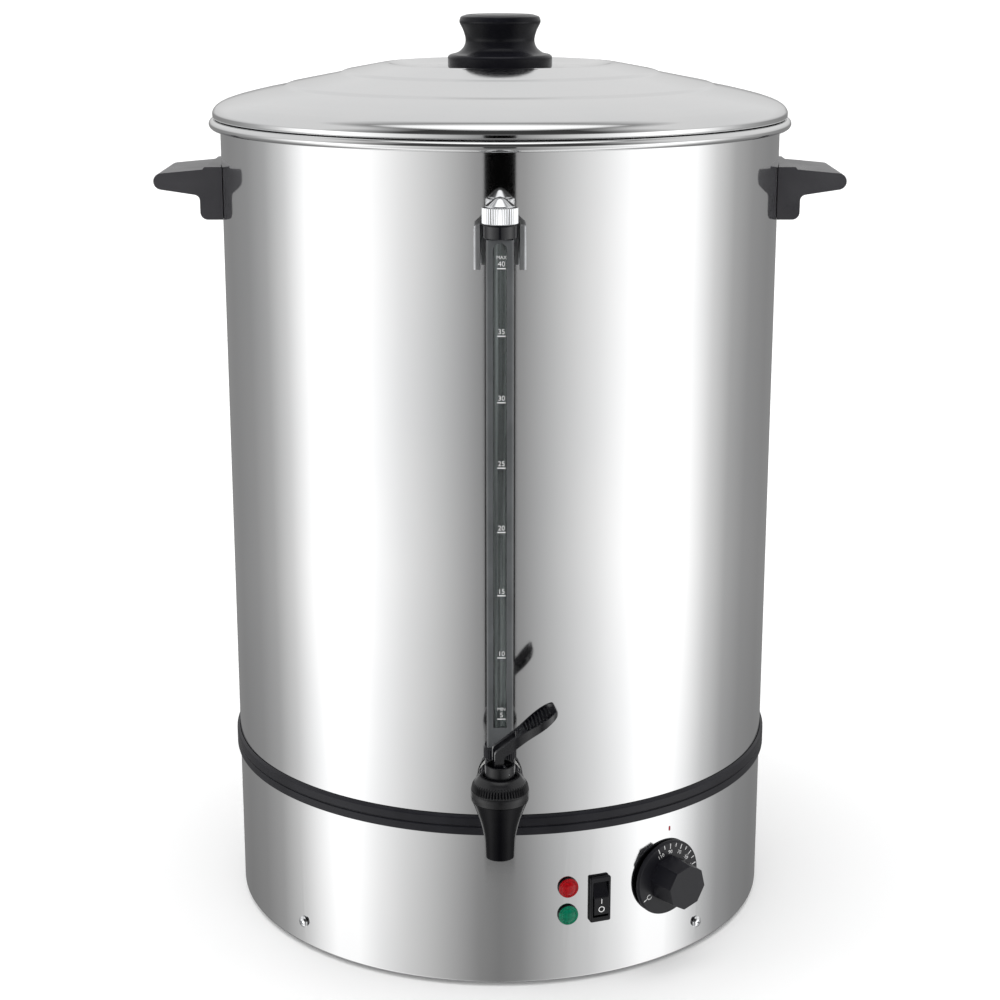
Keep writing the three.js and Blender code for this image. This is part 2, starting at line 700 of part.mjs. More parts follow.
// What turns and lifts above the bonnet. In this group +X is the lever's heading.
function buildTapHead() {
  const head = new THREE.Group();
  head.position.y = -TAP_REACH;
  head.rotation.z = radians(LEVER_HEADING - 90);
  kettle.add(head);

  const pinHole = (length) =>
    new THREE.CylinderGeometry(1.4, 1.4, length, 12).translate(LEVER_PIN_OFFSET, 0, LEVER_PIN_HEIGHT);
  const collarFloor = 172;
  const collar = turnedRing([
    [2.4, 163.3],
    [8.4, 163.3],
    [8.4, 165.2],
    [7, 165.2],
    [7, 169.5],
    [9.2, 169.5],
    [9.2, 180.2],
    [7.9, 180.2],
    [7.9, collarFloor],
    [2.4, collarFloor],
  ]);
  add("tap_collar", cut(collar, pinHole(30)), BLACK_PLASTIC, head);

  const pin = new THREE.CylinderGeometry(1.1, 1.1, 16.4, 12);
  pin.translate(LEVER_PIN_OFFSET, 0, LEVER_PIN_HEIGHT);
  add("lever_pin", pin, PLAIN_STEEL, head);

  // The lever: a side outline cut to a plan outline, slotted for the stem.
  const side = sideProfile(
    [
      [-4, 173.5],
      [5.7, 173.5],
      [5.7, 176.3],
      [1.6, 179.2],
      [1.6, 186.8],
      [7.6, 190.4],
      [19.3, 199.2],
      [27, 204.4],
      [32, 208.2],
      [35.2, 211.4],
      [35.6, 213.4],
      [33.8, 215.8],
      [20, 206.8],
      [10.2, 199.7],
      [-3, 190.4],
      [-4, 189],
    ],
    26,
  );
  const halfPlan = [
    [-5, 6.4], [10, 7], [15, 8.4], [19, 10.2], [24, 11.8],
    [28, 11.9], [31, 10.9], [33.4, 8.8], [35, 5.6], [35.6, 2.4],
  ];
  const planPoints = [...halfPlan, ...halfPlan.map(([x, y]) => [x, -y]).reverse()];
  const planShape = new THREE.Shape(planPoints.map(([x, y]) => new THREE.Vector2(x, y)));
  const plan = new THREE.ExtrudeGeometry(planShape, { depth: 60, bevelEnabled: false });
  plan.translate(0, 0, 165);
  const slotHalf = 3.6;
  const slot = box(20.5, 2 * slotHalf, 60, 0.25, 0, 190);
  const cheeks = [-1, 1].map((sign) => box(30, 10, 20, 0, sign * (4.9 + 5), 173));
  const ledges = [-1, 1].map((sign) => box(5.6, 1.8, 1.5, -1, sign * 3.2, 175.65));
  const blade = cut(common(side, plan), slot, ...cheeks);
  add("tap_lever", cut(join(blade, ...ledges), pinHole(30)), BLACK_PLASTIC, head);

  const stem = turned(
    [
      [0, 151.9],
      [1.9, 151.9],
      [1.9, 154.9],
      [5, 154.9],
      [5, 155.8],
      [1.9, 155.8],
      [1.9, 176.9],
      [3.2, 176.9],
      [3.2, 178.4],
      [0, 178.4],
    ],
    16,
  );
  add("valve_stem", stem, PLAIN_STEEL, head);

  const seatCup = turned(
    [
      [0, 150.3],
      [9.4, 150.3],
      [9.8, 151.4],
      [7, 154.5],
      [2.2, 154.5],
      [2.2, 151.6],
      [0, 151.6],
    ],
    16,
  );
  add("seat_cup", seatCup, SEAL_SILICONE, head);

  const spring = bar(new Helix(3.6, 156.7, 162.3, 4), 0.45, 40, 2);
  add("tap_spring", spring, PLAIN_STEEL, head);
}

function buildLamp(name, height, lensMaterial) {
  const place = station(LAMP_AZIMUTH, height);
  const face = TANK_RADIUS + 0.4;
  const bezel = turned(
    [
      [0, 172],
      [4.5, 172],
      [4.5, face],
      [LAMP_RADIUS, face],
      [LAMP_RADIUS, face + 0.8],
      [LAMP_RADIUS - 0.3, face + 1.1],
      [LAMP_RADIUS - 0.5, face + 1.1],
      [LAMP_RADIUS - 0.5, face + 0.5],
      [0, face + 0.5],
    ],
    16,
  );
  add(`${name}_lamp_body`, facingOut(bezel), BLACK_PLASTIC, place);

  const lens = turned(
    [
      [0, face + 0.8],
      [LAMP_RADIUS - 0.8, face + 0.8],
      [LAMP_RADIUS - 0.8, face + 2],
      [LAMP_RADIUS - 1.8, face + 3.2],
      [2.8, face + 4],
      [0, face + 4.2],
    ],
    16,
  );
  add(`${name}_lamp_lens`, facingOut(lens), lensMaterial, place);
}

function buildSwitch() {
  const place = station(SWITCH_AZIMUTH, SWITCH_HEIGHT);
  const face = TANK_RADIUS + 0.5;
  const bezelFace = face + 2.7;
  const pivot = 188.5;
  const bezel = roundedBlock(14.5, 32, 1.2, face, bezelFace);
  const housing = roundedBlock(12.4, 28, 0.8, 168, face + 1);
  const well = box(11.1, 20, 25, 0, -190.2, 0);
  const pivotHole = new THREE.CylinderGeometry(1.5, 1.5, 20, 12).rotateZ(Math.PI / 2);
  pivotHole.translate(0, -pivot, 0);
  add("switch_body", cut(join(bezel, housing), well, pivotHole), BLACK_PLASTIC, place);

  // The rocker's outline is [outwards, up] about its pivot; both halves slope back from the middle.
  const outline = [[-5, -9], [4.2, -11.2], [6.4, 0], [4.2, 11.2], [-5, 9]];
  const shape = new THREE.Shape(outline.map(([out, up]) => new THREE.Vector2(-out, up)).reverse());
  const width = 10.3;
  const paddle = new THREE.ExtrudeGeometry(shape, { depth: width, bevelEnabled: false });
  paddle.translate(0, 0, -width / 2).rotateY(Math.PI / 2).rotateX(Math.PI / 2);
  const stub = new THREE.CylinderGeometry(1.2, 1.2, 11.9, 12).rotateZ(Math.PI / 2);
  const rocker = join(paddle, stub).rotateX(radians(-ROCKER_TILT));
  add("switch_rocker", rocker, BLACK_PLASTIC, place).position.y = -pivot;
}

function buildThermostat() {
  const place = station(DIAL_AZIMUTH, DIAL_HEIGHT);
  const bodyFace = 186.5;
  const bushing = facingOut(turned([[0, 184], [4.4, 184], [4.4, 189.4], [0, 189.4]]));
  const bore = facingOut(turned([[0, 180], [3.4, 180], [3.4, 191], [0, 191]]));
  const casing = roundedBlock(36, 36, 3, 154, bodyFace);
  add("thermostat_body", cut(join(casing, bushing), bore), BLACK_PLASTIC, place);

  const shaftEnd = DIAL_FACE - 11;
  const shaft = facingOut(turned([[0, 180.6], [3, 180.6], [3, shaftEnd], [0, shaftEnd]]));
  add("thermostat_shaft", shaft, BRASS, place);

  const back = TANK_RADIUS + 0.7;
  const dial = turned(
    [
      [0, back],
      [DIAL_RADIUS - 0.5, back],
      [DIAL_RADIUS, back + 0.5],
      [DIAL_RADIUS, back + 1.6],
      [DIAL_RADIUS - 1.2, back + 2.6],
      [0, back + 4.2],
    ],
    32,
  );
  const gripBack = back + 3;
  const gripLength = DIAL_FACE - gripBack;
  const grip = new THREE.CylinderGeometry(DIAL_GRIP_RADIUS - 0.9, DIAL_GRIP_RADIUS, gripLength, 8);
  grip.rotateX(Math.PI / 2).rotateZ(radians(DIAL_GRIP_TURN)).translate(0, 0, gripBack + gripLength / 2);
  const shaftBore = post(3.3, back - 1, shaftEnd + 0.4, 0, 0, 16);
  add("thermostat_knob", facingOut(cut(join(dial, grip), shaftBore)), BLACK_PLASTIC, place);

  // The sensing bulb lies under the tank's floor, joined to the casing by its capillary.
  const route = new THREE.CatmullRomCurve3([
    new THREE.Vector3(60, -128, 72),
    new THREE.Vector3(54, -120, 78),
    new THREE.Vector3(50, -116, 96),
    new THREE.Vector3(44, -114, 112),
    new THREE.Vector3(34, -113, 119),
    new THREE.Vector3(20, -113, 120.5),
  ]);
  const capillary = bar(route, 1.2, 16, 2);
  const bulb = new THREE.CapsuleGeometry(3, 60, 4, 12).rotateZ(Math.PI / 2).translate(-12, -113, 120.5);
  add("thermostat_bulb", join(capillary, bulb), BRASS);
}

function buildHeater() {
  const plate = turned(
    [[0, 119.4], [98, 119.4], [100, 121], [100, FLOOR_HEIGHT - GAP], [0, FLOOR_HEIGHT - GAP]],
    32,
  );
  add("heat_plate", plate, ALUMINIUM);

  const ringRadius = 70;
  const ringHeight = 113.6;
  const ringPoints = Array.from({ length: 17 }, (_, i) => {
    const angle = radians(100 + (340 * i) / 16);
    return new THREE.Vector3(ringRadius * Math.cos(angle), ringRadius * Math.sin(angle), ringHeight);
  });
  const start = ringPoints[0].clone().add(new THREE.Vector3(4, 12, -9));
  const finishPoint = ringPoints[16].clone().add(new THREE.Vector3(-4, 12, -9));
  const startTip = start.clone().add(new THREE.Vector3(0, 3, -14));
  const finishTip = finishPoint.clone().add(new THREE.Vector3(0, 3, -14));
  const sheath = new THREE.CatmullRomCurve3([startTip, start, ...ringPoints, finishPoint, finishTip]);
  add("heating_element", bar(sheath, 4, 44, 3), PLAIN_STEEL);

  const cutout = turned(
    [[0, 114.5], [8.4, 114.5], [8.4, 121.5], [11, 121.5], [11, FLOOR_HEIGHT - GAP], [0, FLOOR_HEIGHT - GAP]],
    20,
  );
  const [x, y] = onRing(125, 270);
  add("thermal_cutout", cutout, CERAMIC).position.set(x, y, 0);
}

function buildSupply() {
  const bottom = 6.2 + GAP;
  const block = box(46, 22, 16, 0, 0, 0);
  const wireways = [-15, 0, 15].map((x) => new THREE.CylinderGeometry(3, 3, 30, 10).translate(x, 0, 1));
  const terminals = add("terminal_block", cut(block, ...wireways), CERAMIC);
  terminals.position.set(0, 142, bottom + 8);

  const face = TANK_RADIUS + 0.5;
  const gland = turnedRing([
    [4.4, 178],
    [7.2, 178],
    [7.2, face],
    [11.6, face],
    [11.6, face + 3.4],
    [9.8, face + 5.4],
    [8, GLAND_REACH],
    [4.4, GLAND_REACH],
  ]);
  add("cable_gland", facingOut(gland), BLACK_PLASTIC, station(180, GLAND_HEIGHT));
}

buildTank();
buildBand();
buildBase();
buildLid();
buildHandles();
buildGauge();
buildTapBody();
buildTapHead();
buildLamp("red", RED_LAMP_HEIGHT, RED_LENS);
buildLamp("green", GREEN_LAMP_HEIGHT, GREEN_LENS);
buildSwitch();
buildThermostat();
buildHeater();
buildSupply();

export default root;
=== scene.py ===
"""Looks of the electric brew kettle: detailed pieces, materials, light and camera around its CAD model.

Shapes are worked out in millimetres in the kettle's own frame, with the tank's axis at x = y = 0 and the
skirt's lower edge at z = 0, and are then placed in the row's frame, in metres. The tap faces -Y. An azimuth
is in degrees from the front towards +X."""
import json
import math

import bmesh
import bpy
from mathutils import Matrix, Vector


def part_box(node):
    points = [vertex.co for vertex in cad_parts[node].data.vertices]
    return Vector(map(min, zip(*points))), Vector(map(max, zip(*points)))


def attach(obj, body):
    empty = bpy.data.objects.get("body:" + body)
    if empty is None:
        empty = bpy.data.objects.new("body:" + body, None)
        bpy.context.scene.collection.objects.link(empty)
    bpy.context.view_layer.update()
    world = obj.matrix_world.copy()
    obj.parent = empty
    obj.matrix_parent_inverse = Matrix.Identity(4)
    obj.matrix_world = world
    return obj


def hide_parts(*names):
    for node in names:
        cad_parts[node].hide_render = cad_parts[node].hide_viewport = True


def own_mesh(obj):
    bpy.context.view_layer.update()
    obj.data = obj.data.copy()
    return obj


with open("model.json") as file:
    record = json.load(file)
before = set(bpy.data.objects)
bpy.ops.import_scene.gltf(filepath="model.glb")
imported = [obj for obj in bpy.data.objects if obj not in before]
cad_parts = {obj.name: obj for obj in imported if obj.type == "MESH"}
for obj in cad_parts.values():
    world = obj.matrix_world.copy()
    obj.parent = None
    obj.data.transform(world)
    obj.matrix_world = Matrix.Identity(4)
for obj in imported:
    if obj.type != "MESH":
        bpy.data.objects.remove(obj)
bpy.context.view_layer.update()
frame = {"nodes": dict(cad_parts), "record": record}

MM = 0.001

# Sizes from the frame.
SKIRT_LOW, SKIRT_HIGH = (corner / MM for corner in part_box("base_skirt"))
ORIGIN = Vector((0, (SKIRT_LOW.y + SKIRT_HIGH.y) / 2, SKIRT_LOW.z))  # of the kettle's frame in the row's
TANK_RADIUS = (SKIRT_HIGH.x - SKIRT_LOW.x) / 2


def low(node):
    """A CAD node's lowest corner in the kettle's own frame."""
    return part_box(node)[0] / MM - ORIGIN


def high(node):
    """A CAD node's highest corner in the kettle's own frame."""
    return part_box(node)[1] / MM - ORIGIN


def middle(node):
    return (low(node) + high(node)) / 2


def heights(node):
    """A CAD node's lowest and highest levels."""
    return low(node).z, high(node).z


SHEET = 1.2  # thickness of the sheet steel
GAP = 0.3  # between neighbouring CAD nodes
FIT = 0.25  # between the tank's wall and what is bolted to it
INNER_RADIUS = TANK_RADIUS - SHEET
SKIRT_TOP = high("base_skirt").z
BAND_BOTTOM = low("band_gasket").z
BAND_TOP = high("band_gasket").z
BAND_RADIUS = high("band_gasket").x
WALL_BOTTOM = low("tank_wall").z
RIM_RADIUS = high("tank_wall").x
RIM_BEAD = 3.3
RIM_HEIGHT = high("tank_wall").z - RIM_BEAD  # middle of the rolled rim
LID_UNDER = high("tank_wall").z + GAP
LID_RADIUS = high("lid_shell").x
KNOB_SEAT = low("lid_knob").z
KNOB_TOP = high("lid_knob").z
TAP_REACH = -middle("tap_bonnet").y
GAUGE_REACH = -middle("gauge_glass").y
SHANK_HEIGHT = middle("tap_wall_nut").z
SHANK_CLEARANCE = 9.3  # radius of the holes that the tap's shank passes
LEVER_HEADING = 98  # degrees from straight ahead, to the right
LEVER_PIN_HEIGHT = middle("lever_pin").z
LEVER_PIN_REACH = 3.8  # from the swivel's axis
SHIELD_FACE = -low("gauge_shield").y
FOOT_RING = math.hypot(middle("foot_1").x, middle("foot_1").y)
STAY_RING = math.hypot(middle("stay_bolt_1").x, middle("stay_bolt_1").y)
CORNER_AZIMUTHS = (45, 135, 225, 315)
STAY_AZIMUTHS = (60, 180, 300)
SKIRT_SCREW_HEIGHT = middle("skirt_screw_1").z
LAMP_AZIMUTH = 13.6
SWITCH_AZIMUTH = 20.2
SWITCH_HEIGHT = middle("switch_body").z
DIAL_AZIMUTH = 35.8
DIAL_HEIGHT = middle("thermostat_shaft").z
DIAL_RADIUS = 26.1
DIAL_GRIP_TURN = -8  # degrees
LAMP_RADIUS = 6.9
GLAND_HEIGHT = middle("cable_gland").z
FINE = 256  # facets of the large round pieces
SMALL = 64  # facets of the small ones


# Outlines and solids, in millimetres.

def arc(x, y, radius, start, end, steps=8):
    """Points of an arc, with angles in degrees from the first axis."""
    angles = (math.radians(start + (end - start) * i / steps) for i in range(steps + 1))
    return [(x + radius * math.cos(a), y + radius * math.sin(a)) for a in angles]


def softened(points, radius, closed=True, steps=4):
    """An outline with each corner rounded over the given distance, or over a point's own third value."""
    corners = [(Vector(p[:2]), p[2] if len(p) > 2 else radius) for p in points]
    count = len(corners)
    result = []
    for i, (corner, reach) in enumerate(corners):
        if reach == 0 or (not closed and i in (0, count - 1)):
            result.append(tuple(corner))
            continue
        before = corners[i - 1][0] - corner
        after = corners[(i + 1) % count][0] - corner
        reach = min(reach, 0.48 * before.length, 0.48 * after.length)
        start = corner + before.normalized() * reach
        end = corner + after.normalized() * reach
        for step in range(steps + 1):
            t = step / steps
            result.append(tuple((1 - t) ** 2 * start + 2 * t * (1 - t) * corner + t * t * end))
    return result


def rectangle(width, height, corner, x=0, z=0, steps=6):
    """A rectangle with round corners, centred on x, z."""
    w = width / 2 - corner
    h = height / 2 - corner
    return [
        *arc(x + w, z + h, corner, 0, 90, steps),
        *arc(x - w, z + h, corner, 90, 180, steps),
        *arc(x - w, z - h, corner, 180, 270, steps),
        *arc(x + w, z - h, corner, 270, 360, steps),
    ]


def solid(bm):
    """A scratch object from a bmesh, with its faces pointing out."""
    bmesh.ops.remove_doubles(bm, verts=bm.verts, dist=1e-4)
    bmesh.ops.recalc_face_normals(bm, faces=bm.faces)
    mesh = bpy.data.meshes.new("scratch")
    bm.to_mesh(mesh)
    bm.free()
    obj = bpy.data.objects.new("scratch", mesh)
    bpy.context.scene.collection.objects.link(obj)
    return obj


def lathe(profile, sides=SMALL, ring=False, teeth=0):
    """A profile of (radius, height) points turned about Z. A ring's profile closes on itself. A point's
    third value is the depth of its flutes, of which there are as many as teeth."""
    sides = max(sides, teeth * 6)
    bm = bmesh.new()
    rows = []
    for radius, height, *flute in profile:
        row = []
        for i in range(sides):
            angle = 2 * math.pi * i / sides
            depth = flute[0] * (0.5 - 0.5 * math.cos(teeth * angle)) if flute else 0
            r = radius - depth
            row.append(bm.verts.new((r * math.sin(angle), -r * math.cos(angle), height)))
        rows.append(row)
    if ring:
        rows.append(rows[0])
    for lower, upper in zip(rows, rows[1:]):
        for i in range(sides):
            j = (i + 1) % sides
            bm.faces.new((lower[i], lower[j], upper[j], upper[i]))
    return solid(bm)


def prism(outline, near, far):
    """An outline of (x, z) points between two distances in front of the origin, along -Y."""
    bm = bmesh.new()
    back = [bm.verts.new((x, -near, z)) for x, z in outline]
    front = [bm.verts.new((x, -far, z)) for x, z in outline]
    bm.faces.new(back)
    bm.faces.new(front)
    for i in range(len(outline)):
        j = (i + 1) % len(outline)
        bm.faces.new((back[i], back[j], front[j], front[i]))
    return solid(bm)


def slab(outline, bottom, top):
    """An outline of (x, y) points between two heights."""
    return turned_by(prism(outline, bottom, top), "X", -90)


def sweep(points, radius, sides=12):
    """A round bar along a list of points."""
    path = [Vector(p) for p in points]
    bm = bmesh.new()
    rows = []
    side = None
    for i, point in enumerate(path):
        ahead = (path[min(i + 1, len(path) - 1)] - path[max(i - 1, 0)]).normalized()
        if side is None:
            side = ahead.orthogonal().normalized()
        side = (side - ahead * side.dot(ahead)).normalized()
        across = ahead.cross(side)
        angles = (2 * math.pi * k / sides for k in range(sides))
        spokes = (math.cos(a) * side + math.sin(a) * across for a in angles)
        rows.append([bm.verts.new(point + radius * spoke) for spoke in spokes])
    for lower, upper in zip(rows, rows[1:]):
        for k in range(sides):
            bm.faces.new((lower[k], lower[(k + 1) % sides], upper[(k + 1) % sides], upper[k]))
    bm.faces.new(rows[0])
    bm.faces.new(rows[-1])
    return solid(bm)


def lettering(text, size, depth):
    """Raised text that faces the front, centred on the origin."""
    curve = bpy.data.curves.new("scratch", "FONT")
    curve.body = text
    curve.size = size
    curve.extrude = depth / 2
    curve.resolution_u = 4
    curve.align_x = "CENTER"
    curve.align_y = "CENTER"
    source = bpy.data.objects.new("scratch", curve)
    bpy.context.scene.collection.objects.link(source)
    graph = bpy.context.evaluated_depsgraph_get()
    mesh = bpy.data.meshes.new_from_object(source.evaluated_get(graph))
    bpy.data.objects.remove(source)
    obj = bpy.data.objects.new("scratch", mesh)
    bpy.context.scene.collection.objects.link(obj)
    return turned_by(obj, "X", 90)


def turned_by(obj, axis, degrees):
    obj.data.transform(Matrix.Rotation(math.radians(degrees), 4, axis))
    return obj


def moved(obj, x=0, y=0, z=0):
    obj.data.transform(Matrix.Translation((x, y, z)))
    return obj


def facing_out(obj):
    """Turns a shape that stands on Z so that its height runs out of the front, along -Y."""
    return turned_by(obj, "X", 90)


def facing_side(obj, side):
    """Turns a shape that stands on Z so that its height runs along +X or -X."""
    return turned_by(obj, "Y", 90 * side)


def at_station(obj, azimuth, height):
    """Moves a shape made for the front of the tank round to an azimuth and up to a height."""
    return moved(turned_by(obj, "Z", azimuth), z=height)


def reach_along(node, azimuth):
    """How far a CAD node reaches from the tank's axis along an azimuth."""
    out = Vector((*on_ring(1, azimuth), 0))
    obj = frame["nodes"][node]
    return max(out.dot(obj.matrix_world @ v.co / MM - ORIGIN) for v in obj.data.vertices)


def on_ring(radius, azimuth):
    angle = math.radians(azimuth)
    return radius * math.sin(angle), -radius * math.cos(angle)


def applied(obj):
    """Puts an object's modifiers into its mesh."""
    graph = bpy.context.evaluated_depsgraph_get()
    mesh = bpy.data.meshes.new_from_object(obj.evaluated_get(graph))
    obj.modifiers.clear()
    obj.data = mesh
    return obj


def combined(obj, tools, operation):
    for tool in tools:
        modifier = obj.modifiers.new(operation, "BOOLEAN")
        modifier.operation = operation
        modifier.solver = "EXACT"
        modifier.object = tool
        applied(obj)
        bpy.data.objects.remove(tool)
    return obj


def cut(obj, *tools):
    return combined(obj, tools, "DIFFERENCE")


def common(obj, *tools):
    return combined(obj, tools, "INTERSECT")


def fused(obj, *tools):
    return combined(obj, tools, "UNION")


def gathered(*objects):
    """Separate solids as one object."""
    first, *rest = objects
    bm = bmesh.new()
    bm.from_mesh(first.data)
    for other in rest:
        bm.from_mesh(other.data)
        bpy.data.objects.remove(other)
    bm.to_mesh(first.data)
    bm.free()
    return first


def bevelled(obj, width, segments=3, angle=30):
    """Rounds an object's edges."""
    modifier = obj.modifiers.new("bevel", "BEVEL")
    modifier.width = width
    modifier.segments = segments
    modifier.limit_method = "ANGLE"
    modifier.angle_limit = math.radians(angle)
    modifier.use_clamp_overlap = True
    return applied(obj)


def rod(radius, bottom, top, sides=32):
    """A cylinder on Z."""
    return lathe([(0, bottom), (radius, bottom), (radius, top), (0, top)], sides)


def drill(radius, near, far, sides=32):
    """A cylinder along -Y, for cutting holes in the front of the tank."""
    return facing_out(rod(radius, near, far, sides))


def fitted(obj, bottom, top):
    """Hollows the back of a shape to fit the tank's wall."""
    return cut(obj, rod(TANK_RADIUS + FIT, bottom, top, FINE))


def piece(obj, name, body, material, slot, *replaced, smooth=40):
    """Names a shape, puts it in the row's frame and makes it ride on a body in place of CAD nodes."""
    obj.data.transform(Matrix.Scale(MM, 4) @ Matrix.Translation(ORIGIN))
    obj.name = name
    obj.data.name = name
    obj.data.materials.clear()
    obj.data.materials.append(material)
    obj.data.shade_smooth()
    obj.data.set_sharp_from_angle(angle=math.radians(smooth))
    flatten = obj.modifiers.new("flatten", "WEIGHTED_NORMAL")  # keeps flat faces flat beside rounded edges
    flatten.keep_sharp = True
    applied(obj)
    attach(obj, body)
    if replaced:
        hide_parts(*replaced)
    return obj


# Materials.

class Nodes:
    """Adds nodes to a shader's tree."""

    def __init__(self, tree):
        self.tree = tree

    def node(self, kind, **settings):
        node = self.tree.nodes.new(kind)
        for name, value in settings.items():
            setattr(node, name, value)
        return node

    def join(self, source, target):
        self.tree.links.new(source, target)

    def math(self, operation, first, second=None):
        node = self.node("ShaderNodeMath", operation=operation)
        for socket, value in zip(node.inputs, (first, second)):
            if isinstance(value, (int, float)):
                socket.default_value = value
            elif value is not None:
                self.join(value, socket)
        return node.outputs[0]

    def mixture(self, first, second, share):
        """The first source by its share, and the second by the rest."""
        first_part = self.math("MULTIPLY", first, share)
        second_part = self.math("MULTIPLY", second, 1 - share)
        return self.math("ADD", first_part, second_part)

    def ranged(self, source, low_in, high_in, low_out=0.0, high_out=1.0):
        node = self.node("ShaderNodeMapRange")
        self.join(source, node.inputs["Value"])
        for socket, value in zip(node.inputs[1:5], (low_in, high_in, low_out, high_out)):
            socket.default_value = value
        return node.outputs[0]


class Finish(Nodes):
    """A Principled material that is varied with noise over the surface."""

    def __init__(self, name, color, roughness, metallic=0.0, **settings):
        self.material = bpy.data.materials.new(name)
        self.material.use_nodes = True
        super().__init__(self.material.node_tree)
        self.shader = self.tree.nodes["Principled BSDF"]
        self.color = color
        self.normal = None
        self.shader.inputs["Base Color"].default_value = (*color, 1)
        self.shader.inputs["Roughness"].default_value = roughness
        self.shader.inputs["Metallic"].default_value = metallic
        for socket, value in settings.items():
            self.shader.inputs[socket.replace("_", " ")].default_value = value

    def place(self):
        """Position in the row's frame."""
        return self.node("ShaderNodeTexCoord").outputs["Object"]

    def place_round_tank(self):
        """Distance round the tank, distance from its axis, and height."""
        offset = self.node("ShaderNodeVectorMath", operation="SUBTRACT")
        self.join(self.place(), offset.inputs[0])
        offset.inputs[1].default_value = ORIGIN * MM
        split = self.node("ShaderNodeSeparateXYZ")
        self.join(offset.outputs[0], split.inputs[0])
        x, y, z = split.outputs
        angle = self.math("ARCTAN2", x, self.math("MULTIPLY", y, -1.0))
        squares = self.math("ADD", self.math("POWER", x, 2.0), self.math("POWER", y, 2.0))
        merge = self.node("ShaderNodeCombineXYZ")
        self.join(self.math("MULTIPLY", angle, TANK_RADIUS * MM), merge.inputs[0])
        self.join(self.math("SQRT", squares), merge.inputs[1])
        self.join(z, merge.inputs[2])
        return merge.outputs[0]

    def noise(self, place, scale, detail=3.0):
        """Noise from 0 to 1. The scale is how often it changes in a metre, along each axis."""
        mapping = self.node("ShaderNodeMapping")
        self.join(place, mapping.inputs["Vector"])
        mapping.inputs["Scale"].default_value = (scale,) * 3 if isinstance(scale, (int, float)) else scale
        noise = self.node("ShaderNodeTexNoise")
        self.join(mapping.outputs[0], noise.inputs["Vector"])
        noise.inputs["Scale"].default_value = 1.0
        noise.inputs["Detail"].default_value = detail
        return noise.outputs[0]

    def vary_roughness(self, source, least, most):
        self.join(self.ranged(source, 0.3, 0.7, least, most), self.shader.inputs["Roughness"])
        return self

    def vary_color(self, source, other):
        """Moves between the material's colour and another as the source goes up."""
        mix = self.node("ShaderNodeMix", data_type="RGBA")
        self.join(self.ranged(source, 0.35, 0.65), mix.inputs["Factor"])
        colors = [s for s in mix.inputs if s.type == "RGBA"]
        colors[0].default_value = (*self.color, 1)
        colors[1].default_value = (*other, 1)
        result = next(s for s in mix.outputs if s.type == "RGBA")
        self.join(result, self.shader.inputs["Base Color"])
        return self

    def bump(self, source, depth, strength=1.0):
        """Raises the surface by the source times a depth in millimetres."""
        node = self.node("ShaderNodeBump")
        node.inputs["Strength"].default_value = strength
        node.inputs["Distance"].default_value = depth * MM
        self.join(source, node.inputs["Height"])
        if self.normal:
            self.join(self.normal, node.inputs["Normal"])
        self.normal = node.outputs[0]
        self.join(self.normal, self.shader.inputs["Normal"])
        return self


def polished_steel():
    """Mirror-polished sheet: rolling grain that runs round the tank, and faint smears."""
    finish = Finish("polished_steel", (0.80, 0.80, 0.80), 0.06, metallic=1.0)
    grain = finish.noise(finish.place_round_tank(), (12, 3200, 3200), detail=2.0)
    smears = finish.noise(finish.place(), (9, 9, 5), detail=4.0)
    finish.vary_color(smears, (0.76, 0.765, 0.77))
    finish.vary_roughness(finish.mixture(grain, smears, 0.5), 0.045, 0.1)
    finish.bump(grain, 0.004, 0.35)
    return finish.material


def spun_steel():
    """The lid's steel: rings of fine spinning marks under a soft polish."""
    finish = Finish("spun_steel", (0.80, 0.80, 0.80), 0.07, metallic=1.0)
    rings = finish.noise(finish.place_round_tank(), (5, 2600, 2600), detail=2.0)
    smears = finish.noise(finish.place(), 11, detail=4.0)
    finish.vary_color(smears, (0.77, 0.775, 0.78))
    finish.vary_roughness(rings, 0.05, 0.1)
    finish.bump(rings, 0.004, 0.4)
    return finish.material


def satin_steel(name, color, other):
    """Brushed steel."""
    finish = Finish(name, color, 0.35, metallic=1.0)
    marks = finish.noise(finish.place(), (300, 300, 2400), detail=3.0)
    finish.vary_color(finish.noise(finish.place(), 30), other)
    finish.vary_roughness(marks, 0.28, 0.46)
    finish.bump(marks, 0.02, 0.5)
    return finish.material


def chrome():
    finish = Finish("chrome", (0.9, 0.91, 0.92), 0.05, metallic=1.0)
    haze = finish.noise(finish.place(), 260, detail=4.0)
    finish.vary_roughness(haze, 0.03, 0.1)
    finish.vary_color(finish.noise(finish.place(), 70), (0.84, 0.85, 0.87))
    return finish.material


def moulded(name, color, other, roughness, grain_size, grain_depth, gloss):
    """Moulded plastic or rubber: a fine spark-eroded grain and a slight change of tone."""
    finish = Finish(name, color, roughness, Specular_IOR_Level=gloss)
    place = finish.place()
    grain = finish.noise(place, 1 / (grain_size * MM), detail=2.0)
    patches = finish.noise(place, 45, detail=4.0)
    finish.vary_color(patches, other)
    finish.vary_roughness(finish.mixture(grain, patches, 0.4), roughness * 0.8, roughness * 1.25)
    finish.bump(grain, grain_depth, 0.6)
    return finish.material


def clear(name, color, roughness, clarity):
    """Clear glass or plastic with faint draw lines along its height. Lime makes it a little milky."""
    finish = Finish(name, color, roughness, Transmission_Weight=clarity, IOR=1.46)
    lines = finish.noise(finish.place(), (420, 420, 4), detail=2.0)
    finish.vary_color(lines, tuple(0.5 * c for c in color))
    finish.vary_roughness(lines, roughness * 0.6, roughness * 1.6)
    finish.bump(finish.noise(finish.place(), (30, 30, 3), detail=1.0), 0.003, 0.2)
    return finish.material


